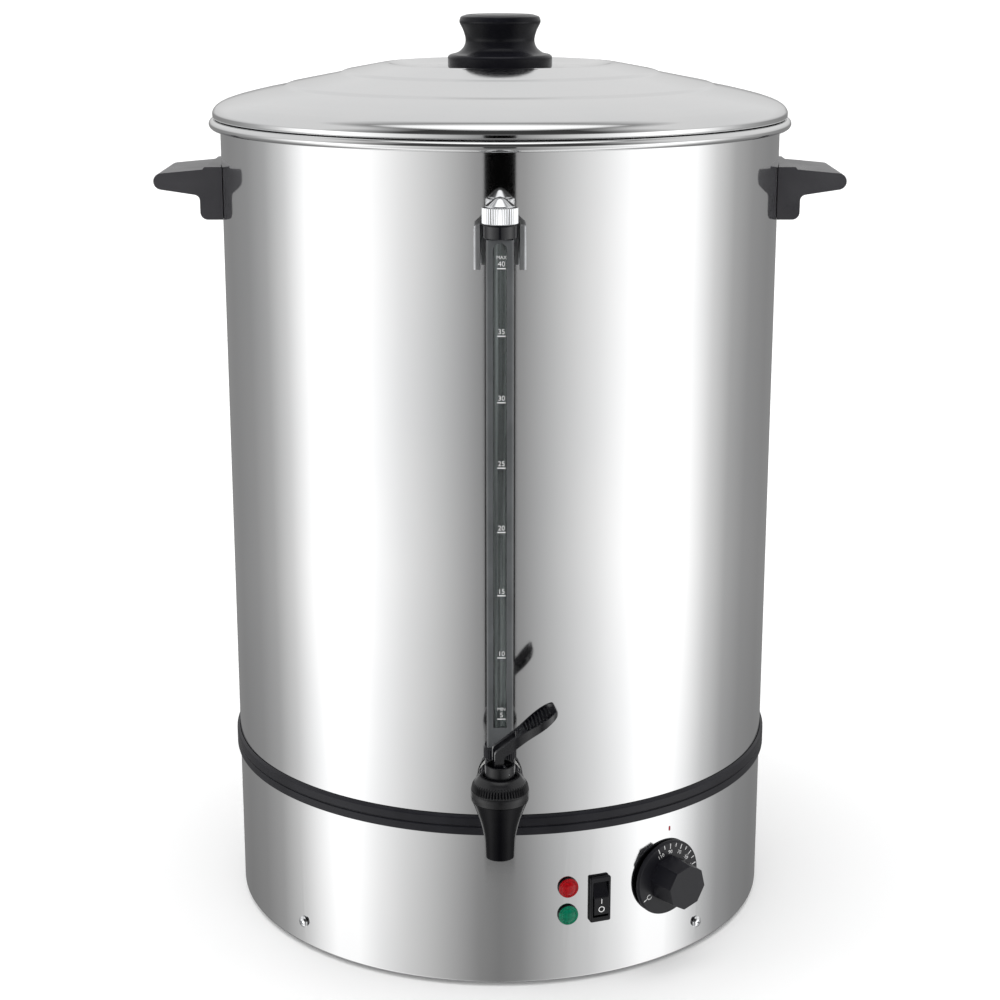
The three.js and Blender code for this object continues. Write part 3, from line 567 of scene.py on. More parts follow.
def lens(name, color, other):
    """A coloured lamp lens: clear over a moulded pattern."""
    finish = Finish(name, color, 0.2, Coat_Weight=0.3, Coat_Roughness=0.05, Specular_IOR_Level=0.1)
    facets = finish.noise(finish.place(), 650, detail=1.0)
    finish.vary_color(facets, other)
    finish.bump(facets, 0.03, 0.15)
    return finish.material


def printed(name, color):
    finish = Finish(name, color, 0.5)
    ink = finish.noise(finish.place(), 2500, detail=2.0)
    finish.vary_color(ink, tuple(0.86 * c for c in color))
    finish.vary_roughness(ink, 0.4, 0.6)
    return finish.material


def cast(name, color, other, roughness, metallic):
    finish = Finish(name, color, roughness, metallic=metallic)
    grain = finish.noise(finish.place(), 900, detail=4.0)
    finish.vary_color(finish.noise(finish.place(), 60, detail=4.0), other)
    finish.vary_roughness(grain, roughness * 0.8, roughness * 1.2)
    finish.bump(grain, 0.05, 0.6)
    return finish.material


STEEL = polished_steel()
LID_STEEL = spun_steel()
SATIN = satin_steel("satin_steel", (0.56, 0.57, 0.58), (0.47, 0.48, 0.5))
CLIP_STEEL = satin_steel("clip_steel", (0.60, 0.61, 0.62), (0.50, 0.51, 0.52))
CHROME = chrome()
BLACK = moulded("black_plastic", (0.005, 0.005, 0.007), (0.008, 0.008, 0.011), 0.24, 0.25, 0.015, 0.2)
TAP_BLACK = moulded("tap_plastic", (0.001, 0.001, 0.002), (0.002, 0.002, 0.003), 0.2, 0.3, 0.006, 0.1)
BONNET_BLACK = moulded("bonnet_plastic", (0.003, 0.003, 0.004), (0.005, 0.005, 0.006), 0.28, 0.3, 0.01, 0.5)
LEVER_BLACK = moulded("lever_plastic", (0.003, 0.003, 0.005), (0.005, 0.005, 0.007), 0.27, 0.3, 0.006, 0.9)
SWITCH_BLACK = moulded("switch_plastic", (0.003, 0.003, 0.004), (0.005, 0.005, 0.007), 0.2, 0.2, 0.008, 0.3)
DIAL_BLACK = moulded("dial_plastic", (0.009, 0.009, 0.012), (0.013, 0.013, 0.016), 0.34, 0.25, 0.02, 0.3)
COLLAR_BLACK = moulded("collar_plastic", (0.004, 0.004, 0.005), (0.006, 0.006, 0.008), 0.12,
                       0.5, 0.002, 0.6)
SMOKY = moulded("smoky_plastic", (0.085, 0.089, 0.092), (0.105, 0.110, 0.114), 0.12, 0.8, 0.002, 0.4)
GREY = moulded("grey_plastic", (0.040, 0.039, 0.044), (0.049, 0.048, 0.053), 0.3, 0.35, 0.02, 0.4)
BAND_RUBBER = moulded("band_rubber", (0.009, 0.009, 0.012), (0.014, 0.014, 0.018), 0.36, 0.3, 0.03, 0.25)
FOOT_RUBBER = moulded("foot_rubber", (0.012, 0.012, 0.012), (0.018, 0.017, 0.017), 0.7, 0.4, 0.05, 0.25)
SILICONE = moulded("silicone", (0.60, 0.60, 0.58), (0.52, 0.52, 0.50), 0.5, 0.3, 0.02, 0.5)
GLASS = clear("gauge_glass", (0.80, 0.86, 0.84), 0.03, 0.55)
WINDOW = clear("gauge_window", (0.86, 0.90, 0.90), 0.03, 0.97)
RED = lens("red_lens", (0.36, 0.004, 0.008), (0.26, 0.003, 0.006))
GREEN = lens("green_lens", (0.002, 0.17, 0.09), (0.002, 0.12, 0.065))
WHITE_INK = printed("white_ink", (0.82, 0.82, 0.82))
RED_INK = printed("red_ink", (0.38, 0.01, 0.02))
BRASS = cast("brass", (0.62, 0.43, 0.17), (0.5, 0.33, 0.12), 0.3, 1.0)
ALUMINIUM = cast("aluminium", (0.62, 0.63, 0.65), (0.52, 0.53, 0.55), 0.42, 1.0)
CERAMIC = cast("ceramic", (0.66, 0.62, 0.55), (0.55, 0.51, 0.44), 0.4, 0.0)


# The tank, its band and the base.

def weld_seam(width, height):
    """A low bead on the front of the tank's wall."""
    return bevelled(prism(rectangle(width, height, 0.6), TANK_RADIUS - 0.4, TANK_RADIUS + 0.22), 0.18)


def build_tank():
    bead = arc(RIM_RADIUS - RIM_BEAD, RIM_HEIGHT, RIM_BEAD, -145, 95, 24)
    inner_edge = [bead[-1], (INNER_RADIUS, RIM_HEIGHT + 3), (INNER_RADIUS, RIM_HEIGHT - 4)]
    wall = lathe([
        (TANK_RADIUS, WALL_BOTTOM),
        (TANK_RADIUS, RIM_HEIGHT - RIM_BEAD - 0.6),
        (TANK_RADIUS + 0.3, RIM_HEIGHT - RIM_BEAD + 0.2),
        *bead,
        *softened(inner_edge, 2.2, closed=False),
        (INNER_RADIUS, WALL_BOTTOM),
    ], FINE, ring=True)
    tap_hole = moved(drill(SHANK_CLEARANCE, 180, 200), z=SHANK_HEIGHT)
    piece(cut(wall, tap_hole), "tank_body", "kettle", STEEL, "polished_steel", "tank_wall")

    seam_top = RIM_HEIGHT - 5
    seam = weld_seam(2.6, seam_top - BAND_TOP)
    seam = at_station(seam, 180, (seam_top + BAND_TOP) / 2)
    piece(seam, "tank_weld_seam", "kettle", SATIN, "plain_steel")

    floor_low, lip = heights("tank_floor")
    edge = high("tank_floor").x
    floor = lathe(softened([
        (0.01, floor_low, 0), (edge, floor_low, 4), (edge, lip, 0.4), (edge - SHEET, lip, 0.4),
        (edge - SHEET, floor_low + SHEET, 3.2), (0.01, floor_low + SHEET, 0),
    ], 1), 192)
    piece(floor, "tank_bottom", "kettle", SATIN, "plain_steel", "tank_floor")


def build_band():
    inside = TANK_RADIUS + GAP
    groove = BAND_BOTTOM + 0.45 * (BAND_TOP - BAND_BOTTOM)
    band = lathe(softened([
        (inside, BAND_BOTTOM, 0.3), (BAND_RADIUS, BAND_BOTTOM, 1.1),
        (BAND_RADIUS, groove - 0.7, 0.3), (BAND_RADIUS - 0.9, groove - 0.3, 0.3),
        (BAND_RADIUS - 0.9, groove + 0.3, 0.3), (BAND_RADIUS, groove + 0.7, 0.3),
        (BAND_RADIUS, BAND_TOP - 1.6, 0.8), (inside + 0.5, BAND_TOP, 0.3), (inside, BAND_TOP, 0),
    ], 0.5), FINE, ring=True)
    piece(band, "joint_band", "kettle", BAND_RUBBER, "band_rubber", "band_gasket")


def build_skirt():
    inward = TANK_RADIUS - 8
    skirt = lathe(softened([
        (inward, 0, 0.3), (TANK_RADIUS, 0, 1.5), (TANK_RADIUS, SKIRT_TOP, 0.3),
        (INNER_RADIUS, SKIRT_TOP, 0.3), (INNER_RADIUS, SHEET, 0.6), (inward, SHEET, 0.3),
    ], 0.3), FINE, ring=True)
    near = 185
    far = 195
    lamp_bore = 4.9
    holes = [
        at_station(prism(rectangle(13, 28.6, 1), near, far), SWITCH_AZIMUTH, SWITCH_HEIGHT),
        at_station(drill(lamp_bore, near, far), LAMP_AZIMUTH, middle("red_lamp_lens").z),
        at_station(drill(lamp_bore, near, far), LAMP_AZIMUTH, middle("green_lamp_lens").z),
        at_station(drill(5, near, far), DIAL_AZIMUTH, DIAL_HEIGHT),
        at_station(drill(7.6, near, far), 180, GLAND_HEIGHT),
        *(at_station(drill(2.3, near, far), azimuth, SKIRT_SCREW_HEIGHT) for azimuth in CORNER_AZIMUTHS),
    ]
    piece(cut(skirt, *holes), "skirt_shell", "kettle", STEEL, "polished_steel", "base_skirt")

    seam = at_station(weld_seam(3, BAND_BOTTOM - 3), 160, (BAND_BOTTOM + 1) / 2)
    piece(seam, "skirt_weld_seam", "kettle", SATIN, "plain_steel")


def cross_recess(width, length, near, far):
    """A tool that cuts a cross into a screw's head, which faces the front."""
    sizes = ((width, length), (length, width))
    return fused(*(prism(rectangle(a, b, 0.2, steps=3), near, far) for a, b in sizes))


def build_base():
    plate_low, flange_top = heights("base_plate")
    plate_edge = high("base_plate").x
    plate_top = plate_low + SHEET
    bead = 100  # a pressed ring that stiffens the plate
    raised = plate_low + 1.6
    plate = lathe(softened([
        (0.01, plate_low, 0), (bead - 6, plate_low, 1.5), (bead - 4, raised, 1.5),
        (bead + 4, raised, 1.5), (bead + 6, plate_low, 1.5), (plate_edge, plate_low, 2.4),
        (plate_edge, flange_top, 0.3), (plate_edge - SHEET, flange_top, 0.3),
        (plate_edge - SHEET, plate_top, 1.4), (bead + 6, plate_top, 1.5),
        (bead + 4, raised + SHEET, 1.5), (bead - 4, raised + SHEET, 1.5),
        (bead - 6, plate_top, 1.5), (0.01, plate_top, 0),
    ], 1), 192)
    vent_ring = 60
    places = [(4.1, FOOT_RING, a) for a in CORNER_AZIMUTHS]
    places += [(3.4, STAY_RING, a) for a in STAY_AZIMUTHS]
    places += [(5, vent_ring, a) for a in range(0, 360, 60)]
    holes = []
    for radius, ring, azimuth in places:
        x, y = on_ring(ring, azimuth)
        holes.append(moved(rod(radius, 0, 12), x, y))
    piece(cut(plate, *holes), "bottom_plate", "kettle", SATIN, "plain_steel", "base_plate")

    for i, azimuth in enumerate(CORNER_AZIMUTHS):
        node = f"foot_{i + 1}"
        sole, top = heights(node)
        seat = plate_low - GAP
        foot = lathe(softened([
            (0.01, sole, 0), (7.4, sole, 0.3), (7.9, sole + 0.7, 0.3), (8.7, sole + 0.7, 0.3),
            (9.2, sole, 0.3), (11.6, sole, 0.8), (13, sole + 1.6, 1), (12, seat, 0.6),
            (3.8, seat, 0.2), (3.8, seat + SHEET + 0.6, 0.2), (5.2, seat + SHEET + 0.6, 0.4),
            (3.2, top, 1), (0.01, top, 0),
        ], 0.3), SMALL)
        x, y = on_ring(FOOT_RING, azimuth)
        piece(moved(foot, x, y), f"rubber_foot_{i + 1}", "kettle", FOOT_RUBBER, "band_rubber", node)

        tail = 183
        face = TANK_RADIUS + 0.4
        top = face + 2.6
        head = [(3.9, face + 0.1, 0), (3.9, face + 1.1), (3, face + 2.1), (1.4, top), (0, top, 0)]
        screw = facing_out(lathe([
            (0, tail), (1.9, tail), (1.9, face), (3.8, face),
            *softened(head, 0.7, closed=False),
        ], 48))
        cross = turned_by(cross_recess(0.85, 4.2, face + 1.3, face + 4), "Y", 25)
        screw = at_station(bevelled(cut(screw, cross), 0.12, 2), azimuth, SKIRT_SCREW_HEIGHT)
        piece(screw, f"domed_screw_{i + 1}", "kettle", CHROME, "chrome", f"skirt_screw_{i + 1}")

    for i, azimuth in enumerate(STAY_AZIMUTHS):
        node = f"stay_bolt_{i + 1}"
        bottom, top = heights(node)
        seat = plate_low - GAP
        head = lathe([(0, bottom), (4.9, bottom), (5.8, bottom + 0.6), (5.8, seat), (0, seat)], 6)
        shank = rod(3, seat - 1, top)
        x, y = on_ring(STAY_RING, azimuth)
        bolt = moved(gathered(bevelled(head, 0.2), shank), x, y)
        piece(bolt, f"hex_stay_bolt_{i + 1}", "kettle", SATIN, "plain_steel", node)


# The lid and the handles.

def build_lid():
    collar = INNER_RADIUS - 1.2  # the ring that drops inside the tank
    bore = 2.7
    plateau = KNOB_SEAT - GAP
    collar_bottom, crown = heights("lid_shell")
    steps = []  # pressed rings, each a short steep step in the dome
    for radius, height in ((145, LID_UNDER + 21.4), (107, LID_UNDER + 29.8)):
        steps += [(radius + 2.4, height - 1, 1.1), (radius - 1.2, height + 0.7, 1.1)]
    top = softened([
        (LID_RADIUS, LID_UNDER + 2, 0), (LID_RADIUS, LID_UNDER + 4.4, 1.6),
        (LID_RADIUS - 2, LID_UNDER + 7.6, 2.2), (LID_RADIUS - 6.5, LID_UNDER + 10.4, 3.4),
        (180, LID_UNDER + 13.3, 8), (162, LID_UNDER + 17.7, 8),
        *steps,
        (81, crown - 0.4, 1.8), (75.5, crown, 1.8), (62, plateau, 4), (bore, plateau, 0.2),
    ], 1, closed=False)
    under = softened([
        (bore, plateau - SHEET, 0.2), (62.4, plateau - SHEET, 4), (76, crown - 1.6, 3),
        (107, LID_UNDER + 28.2, 4), (162, LID_UNDER + 16, 8), (collar - SHEET, LID_UNDER + 6.6, 2),
        (collar - SHEET, collar_bottom, 0.3), (collar, collar_bottom, 0.3),
        (collar, LID_UNDER, 0.5), (LID_RADIUS - 2, LID_UNDER, 0),
    ], 1, closed=False)
    edge = arc(LID_RADIUS - 1.9, LID_UNDER + 1.9, 1.9, -90, 0, 10)
    shell = lathe([*edge, *top, *under], FINE, ring=True)
    piece(shell, "lid_dome", "lid", LID_STEEL, "polished_steel", "lid_shell")

    knob = lathe(softened([
        (0.01, KNOB_SEAT + 2, 0), (20, KNOB_SEAT + 2, 0.5), (21, KNOB_SEAT, 0.3),
        (35.4, KNOB_SEAT, 0.6), (35.4, KNOB_SEAT + 7.1, 0.9), (34, KNOB_SEAT + 8.4, 0.8),
        (28.5, KNOB_SEAT + 9.6, 2.4), (24.6, KNOB_SEAT + 13, 2.6), (23.1, KNOB_SEAT + 17.5, 3),
        (24.4, KNOB_SEAT + 23.6, 3), (27.8, KNOB_SEAT + 30, 1.6), (26.6, KNOB_TOP - 1.4, 1),
        (22.4, KNOB_TOP - 0.1, 0.6), (20.6, KNOB_TOP, 0.3), (20.2, KNOB_TOP - 0.6, 0.2),
        (19.4, KNOB_TOP - 0.6, 0.2), (19, KNOB_TOP - 0.1, 0.3), (0.01, KNOB_TOP, 0),
    ], 0.6), 128)
    piece(knob, "turned_knob", "lid", BLACK, "black_plastic", "lid_knob")

    screw_low, screw_high = heights("lid_knob_screw")
    head_top = plateau - SHEET - GAP
    screw = lathe([
        (0, screw_low),
        *softened([(3, screw_low, 0), (5.4, screw_low + 1.4), (5.4, head_top, 0.2)], 1, closed=False),
        (2.3, head_top),
        (2.3, screw_high),
        (0, screw_high),
    ], 48)
    cross = turned_by(cross_recess(1.1, 5.4, 0, 1.4), "X", -90)
    screw = cut(screw, moved(cross, z=screw_low - 0.2))
    piece(screw, "knob_fixing_screw", "lid", SATIN, "plain_steel", "lid_knob_screw")


def build_handles():
    leg = 202
    back = 184
    shoulder = 499.4
    nose_height = 512.2
    nose_radius = 5.5
    reach = high("right_handle").x
    bottom, top = heights("right_handle")
    half_width = high("right_handle").y
    outline = [
        (back, bottom),
        *arc(leg - 5, bottom + 5, 5, -90, 0, 6),
        (leg, shoulder),
        *arc(leg + 4, shoulder, 4, 180, 97, 6),
        *arc(reach - nose_radius, nose_height, nose_radius, -83, 86, 12),
        (199.6, top - 1.6),
        (198.4, top),
        (back, top),
    ]
    screw_low = 183
    screw_high = 196.6
    head_top = 186.2
    for side, name in ((-1, "left"), (1, "right")):
        grip = prism([(side * x, z) for x, z in outline], -half_width, half_width)
        grip = bevelled(fitted(grip, 470, 540), 1.8, 5, 28)
        piece(grip, f"{name}_grip", "kettle", GREY, "grey_plastic", f"{name}_handle")
        for i in (1, 2):
            node = f"{name}_handle_screw_{i}"
            row = middle(node)
            screw = lathe([
                (0, screw_low),
                *softened([(2.6, screw_low, 0), (4.6, 184.6), (4.6, head_top, 0.2)], 0.8, closed=False),
                (2, head_top),
                (2, screw_high),
                (0, screw_high),
            ], 32)
            cross = turned_by(cross_recess(0.9, 4.4, 0, 1.2), "X", -90)
            screw = cut(screw, moved(cross, z=screw_low - 0.2))
            screw = moved(facing_side(screw, side), y=row.y, z=row.z)
            piece(screw, f"{name}_grip_screw_{i}", "kettle", SATIN, "plain_steel", node)


# The sight gauge.

def build_gauge_top():
    bracket_low = low("gauge_bracket")
    bracket_high = high("gauge_bracket")
    half = bracket_high.x
    inner = 11.7
    face = bracket_low.y
    back = -187
    web = -192.8  # face of the sheet between the cheeks
    section = slab(softened([
        (-half, back, 0.3), (-half, face, 1.9), (-inner, face, 0.6), (-inner, web, 0.8),
        (inner, web, 0.8), (inner, face, 0.6), (half, face, 1.9), (half, back, 0.3),
    ], 0.3, steps=6), bracket_low.z, bracket_high.z)
    corners = [
        (-half, bracket_low.z, 0), (half, bracket_low.z, 0), (half, bracket_high.z),
        (-half, bracket_high.z),
    ]
    bracket = common(section, prism(softened(corners, 3.4, steps=6), 180, 230))
    bracket = bevelled(fitted(bracket, 470, 520), 0.3, 3, 50)
    piece(bracket, "gauge_clip", "kettle", CLIP_STEEL, "polished_steel", "gauge_bracket")

    collar_low, collar_high = heights("gauge_top_collar")
    radius = 10.4
    bore = 5.2
    collar = lathe(softened([
        (bore, collar_low, 0.3), (radius, collar_low, 0.8), (radius, collar_high, 0.8),
        (bore, collar_high, 0.3),
    ], 0.5), SMALL, ring=True)
    tongue = prism(rectangle(12, 5, 0.8, z=(collar_low + collar_high) / 2), -web + GAP, GAUGE_REACH - 7)
    collar = gathered(moved(collar, y=-GAUGE_REACH), tongue)
    piece(collar, "gauge_collar", "kettle", COLLAR_BLACK, "black_plastic", "gauge_top_collar")

    cap_low, tip = heights("gauge_cap_nut")
    shoulder = tip - 6.4
    crest = 10.85
    knurl = 0.45
    cone = [(8.9, shoulder + 0.6, 0), (8.8, shoulder + 1.1, 0.4), (2.9, tip - 0.9), (0, tip, 0)]
    cap = lathe([
        (0, cap_low + 4), (7.4, cap_low + 4), (7.4, cap_low), (10.5, cap_low),
        (crest, cap_low + 0.3, 0), (crest, cap_low + 0.5, knurl), (crest, shoulder - 0.2, knurl),
        (10.6, shoulder + 0.1, 0), (9.5, shoulder + 0.5),
        *softened(cone, 1.8, closed=False),
    ], teeth=44)
    piece(moved(cap, y=-GAUGE_REACH), "gauge_cap", "kettle", CHROME, "chrome", "gauge_cap_nut")


def build_gauge_glass():
    bottom, top = heights("gauge_glass")
    bore = 3.6
    radius = 4.8
    tube = lathe(softened([(bore, bottom), (radius, bottom), (radius, top), (bore, top)], 0.5), ring=True)
    piece(moved(tube, y=-GAUGE_REACH), "sight_tube", "kettle", GLASS, "glass", "gauge_glass")

    shield_low = low("gauge_shield")
    shield_high = high("gauge_shield")
    outer = shield_high.x
    thickness = 1.2
    inner = outer - thickness
    back = shield_high.y
    front = -SHIELD_FACE
    channel = slab(softened([
        (-outer, back, 0.3), (-outer, front, 1.5), (outer, front, 1.5), (outer, back, 0.3),
        (inner, back, 0.3), (inner, front + thickness, 0.6), (-inner, front + thickness, 0.6),
        (-inner, back, 0.3),
    ], 0.3), shield_low.z, shield_high.z)
    slot_half = 4.15
    slot_top = shield_high.z - 6
    slot_low = shield_low.z + 13.1
    slot = [(-slot_half, slot_low), (slot_half, slot_low), *arc(0, slot_top, slot_half, 0, 180, 16)]
    slot = prism(slot, SHIELD_FACE - 4, SHIELD_FACE + 4)
    shield = bevelled(cut(channel, slot), 0.2, 2)
    piece(shield, "gauge_channel", "kettle", SMOKY, "black_plastic", "gauge_shield")

    pane_low = low("gauge_window")
    pane_high = high("gauge_window")
    size = pane_high - pane_low
    pane = prism(rectangle(size.x, size.z, 0.6), -pane_high.y, -pane_low.y)
    pane = moved(bevelled(pane, 0.15, 2), z=middle("gauge_window").z)
    piece(pane, "gauge_pane", "kettle", WINDOW, "glass", "gauge_window")

    face = -pane_low.y
    offset = 0.9
    lowest = shield_low.z + 20.2
    step = 40.5
    ink = 0.17
    words = {5: "MIN", 40: "MAX"}
    for i in range(8):
        litres = 5 * (i + 1)
        height = lowest + step * i
        mark = prism(rectangle(5.2, 0.7, 0.1, x=offset, z=height - 1.6), face - 0.05, face + 0.12)
        parts = [mark, moved(lettering(str(litres), 4.4, ink), offset, -face - 0.04, height + 1)]
        if litres in words:
            parts.append(moved(lettering(words[litres], 2.9, ink), offset, -face - 0.04, height + 4.9))
        piece(gathered(*parts), f"scale_mark_{litres}", "kettle", WHITE_INK, "glass")

    nut_low, nut_high = heights("gauge_bottom_nut")
    bore = 5.2
    crest = 10.4
    knurl = 0.5
    nut = lathe([
        (bore, nut_low), (9.9, nut_low), (crest, nut_low + 0.5), (crest, nut_low + 0.8, knurl),
        (crest, nut_high - 1.6, knurl), (10.3, nut_high - 1.3), (9.6, nut_high), (bore, nut_high),
    ], ring=True, teeth=36)
    nut = moved(nut, y=-GAUGE_REACH)
    piece(nut, "gauge_lower_nut", "kettle", BLACK, "black_plastic", "gauge_bottom_nut")


# The tap.

def build_tap_body():
    spout_low = low("tap_body").z
    shoulder = low("tap_bonnet").z - GAP
    bore = 6.6
    spout = lathe(softened([
        (bore, spout_low, 0.4), (9.05, spout_low, 0.5), (9.6, 132, 6), (11.6, 141, 4),
        (15.2, 151.5, 3), (17.5, shoulder, 0.3), (14.6, shoulder, 0.3), (14.6, shoulder + 5.6, 0.3),
        (12.4, shoulder + 5.6, 0.3), (12.4, 147, 1), (10.2, 141, 0.6), (8.6, 141, 0.3),
        (8.6, 150, 0.3), (bore, 150, 0.3),
    ], 0.5), 96, ring=True)
    spout = moved(spout, y=-TAP_REACH)
    neck = TAP_REACH - 11
    shank = facing_out(lathe(softened([
        (4.8, 177, 0.3), (8.9, 177, 0.5), (8.9, 206, 0.8), (8.2, 207.4, 0.6),
        (8.2, neck, 0), (4.8, neck, 0),
    ], 0.3), 48, ring=True))
    boss_top = low("gauge_bottom_nut").z - GAP
    boss = lathe(softened([
        (3.4, SHANK_HEIGHT, 0), (9.6, SHANK_HEIGHT, 0), (9.6, boss_top, 0.5), (3.4, boss_top, 0.3),
    ], 0.3), 48, ring=True)
    turns = [point for i in range(9) for point in ((8.9, 178 + i), (9.15, 178.5 + i))]
    thread = facing_out(lathe([*turns, (8.9, 187), (8.7, 187), (8.7, 178)], 48, ring=True))
    shank = moved(shank, z=SHANK_HEIGHT)
    thread = moved(thread, z=SHANK_HEIGHT)
    body = gathered(spout, shank, moved(boss, y=-GAUGE_REACH), thread)
    piece(body, "tap_casting", "kettle", TAP_BLACK, "black_plastic", "tap_body")


def build_bonnet():
    base = low("tap_bonnet").z
    flare = high("tap_bonnet").x
    knurl = 1.3
    skirt = [(flare - 0.5, base, 0), (flare, base + 3), (flare - 0.3, base + 5.4, 0)]
    crest = base + 15.4
    ledge = base + 11.8
    crown = [
        (15.2, base + 12.2, 0), (13.4, base + 14.3), (12, crest, 0.6), (10.5, crest, 0.4),
        (10.5, ledge, 0.3), (7.3, ledge, 0.3), (7.3, base + 8.4, 0),
    ]
    bonnet = lathe([
        (14.9, base),
        *softened(skirt, 1.2, closed=False),
        (flare - 0.6, base + 5.7), (flare - 0.6, base + 6, 0), (flare - 0.4, base + 6.5, knurl),
        (flare - 1.1, base + 9.6, knurl), (flare - 2, base + 11.2, 0.5),
        (flare - 2.6, ledge, 0),
        *softened(crown, 1.2, closed=False),
        (12.4, base + 8.4),
        (12.4, base + 5.8),
        (14.9, base + 5.8),
    ], ring=True, teeth=56)
    piece(moved(bonnet, y=-TAP_REACH), "bonnet_cap", "kettle", BONNET_BLACK, "black_plastic", "tap_bonnet")


def build_tap_nuts():
    nut = lathe([
        (SHANK_CLEARANCE, 194.2), (15, 194.2), (15.4, 194.7), (15.4, 195.2, 0.6),
        (15.4, 201.6, 0.6), (15.2, 202.1), (14.4, 203), (SHANK_CLEARANCE, 203),
    ], ring=True, teeth=30)
    nut = moved(facing_out(nut), z=SHANK_HEIGHT)
    piece(nut, "tap_flange_nut", "kettle", BLACK, "black_plastic", "tap_wall_nut")

    near = 187
    far = 193.9
    washer = lathe(softened([
        (SHANK_CLEARANCE, near), (14.6, near), (14.6, far), (SHANK_CLEARANCE, far),
    ], 0.7), SMALL, ring=True)
    washer = fitted(moved(facing_out(washer), z=SHANK_HEIGHT), 120, 170)
    piece(washer, "tap_seal_ring", "kettle", SILICONE, "silicone", "tap_washer")

    hexagon = lathe([(0, 180.2), (13.6, 180.2), (14.6, 180.9), (14.6, 185.3), (13.6, 186), (0, 186)], 6)
    hexagon = bevelled(facing_out(hexagon), 0.3, 2)
    hexagon = moved(cut(hexagon, drill(SHANK_CLEARANCE, 178, 190)), z=SHANK_HEIGHT)
    piece(hexagon, "tap_inner_nut", "kettle", BLACK, "black_plastic", "tap_lock_nut")


def on_head(obj):
    """Moves a shape made about the swivel axis, with +X as the lever's heading, to its place."""
    return moved(turned_by(obj, "Z", LEVER_HEADING - 90), y=-TAP_REACH)


def pin_hole(radius):
    """A drill for the lever's pin, in the lever's heading."""
    return moved(drill(radius, -8, 8, 24), x=LEVER_PIN_REACH, z=LEVER_PIN_HEIGHT)


def lever_plan(inset=0):
    """The lever from above: a spoon on a straight foot. The inset outline is its dished part."""
    half = [(-5, 6.4), (10, 7), (15, 8.4), (19, 10.2), (24, 11.8)]
    half += [(28, 11.9), (31, 10.9), (33.4, 8.8), (35, 5.6), (35.6, 2.4)]
    if inset:
        half = [(x, y - inset) for x, y in half if 14 < x < 33] + [(33.2, 6.4), (34, 3.4)]
    outline = [*half, *((x, -y) for x, y in reversed(half))]
    return softened([(x, y, 0.3 if x < 0 else 3) for x, y in outline], 3, steps=5)


def build_lever():
    tip = 33.8
    tip_height = 215.8
    shelf = 20
    shelf_height = 206.8
    rise = (tip_height - shelf_height) / (tip - shelf)
    slope = math.degrees(math.atan(rise))

    def face(x):
        """Height of the spoon's upper face."""
        return shelf_height + (x - shelf) * rise

    side = prism(softened([
        (-4, 173.5, 0.3), (5.7, 173.5, 1.4), (5.7, 176.3, 1), (1.6, 179.2, 1.4),
        (1.6, 186.8, 1.6), (7.6, 190.4, 3), (19.3, 200.6, 4), (26.6, 206, 4),
        (31.6, 209.8, 2.4), (35, 212.2, 1), (35.6, 213.4, 0.8),
        (tip, face(tip), 0.9),
        (shelf, shelf_height, 4), (10.2, 199.7, 4), (-3, 190.4, 0.8), (-4, 189, 0.8),
    ], 1), -15, 15)
    blade = common(side, slab(lever_plan(), 165, 225))
    slot = slab(rectangle(20.5, 7.2, 1.2, x=0.25), 160, 230)
    cheeks = [moved(slab(rectangle(30, 10, 0.2), 163, 183), y=sign * 9.9) for sign in (-1, 1)]
    blade = cut(blade, slot, *cheeks)
    depth = 2.2
    dish = prism([(12, face(12) - depth), (34, face(34) - depth), (34, 228), (12, 228)], -15, 15)
    dish = common(dish, slab(lever_plan(1.3), 190, 230))
    blade = bevelled(cut(blade, dish), 0.6, 4, 32)
    ribs = []
    rib_outline = softened([(-0.6, -0.8), (0.6, -0.8), (0.45, 1.7, 0.5), (-0.45, 1.7, 0.5)], 0.1)
    for i, half in enumerate((5.6, 6.9, 7.8, 8.4, 8.6, 8.4, 7.6, 6.2)):
        x = 17.2 + 2 * i
        rib = bevelled(prism(rib_outline, -half, half), 0.25, 2)
        ribs.append(moved(turned_by(rib, "Y", -slope), x=x, z=face(x) - depth + 0.4))
    ledges = [slab(rectangle(5.6, 1.8, 0.3, x=-1, z=side * 3.2), 174.9, 176.4) for side in (-1, 1)]
    lever = gathered(cut(blade, pin_hole(1.3)), *ribs, *ledges)
    piece(on_head(lever), "ribbed_lever", "tap_lever", LEVER_BLACK, "black_plastic", "tap_lever")


def build_tap_head():
    base, rim = heights("tap_collar")
    collar = lathe(softened([
        (2.4, base, 0.2), (8.4, base, 0.3), (8.4, base + 1.9, 0.3), (7, base + 1.9, 0.3),
        (7, base + 6.2, 0.3), (9.2, base + 6.2, 0.7), (9.2, rim, 0.5), (7.9, rim, 0.5),
        (7.9, 172, 0.6), (2.4, 172, 0.2),
    ], 0.3), SMALL, ring=True)
    collar = on_head(cut(collar, pin_hole(1.4)))
    piece(collar, "swivel_cup", "tap_collar", BONNET_BLACK, "black_plastic", "tap_collar")

    half = 7.7
    pin = lathe(softened([(0.01, -half, 0), (1.1, -half), (1.1, half), (0.01, half, 0)], 0.3), 32)
    pin = on_head(moved(facing_out(pin), x=LEVER_PIN_REACH, z=LEVER_PIN_HEIGHT))
    piece(pin, "pivot_pin", "tap_collar", SATIN, "plain_steel", "lever_pin")


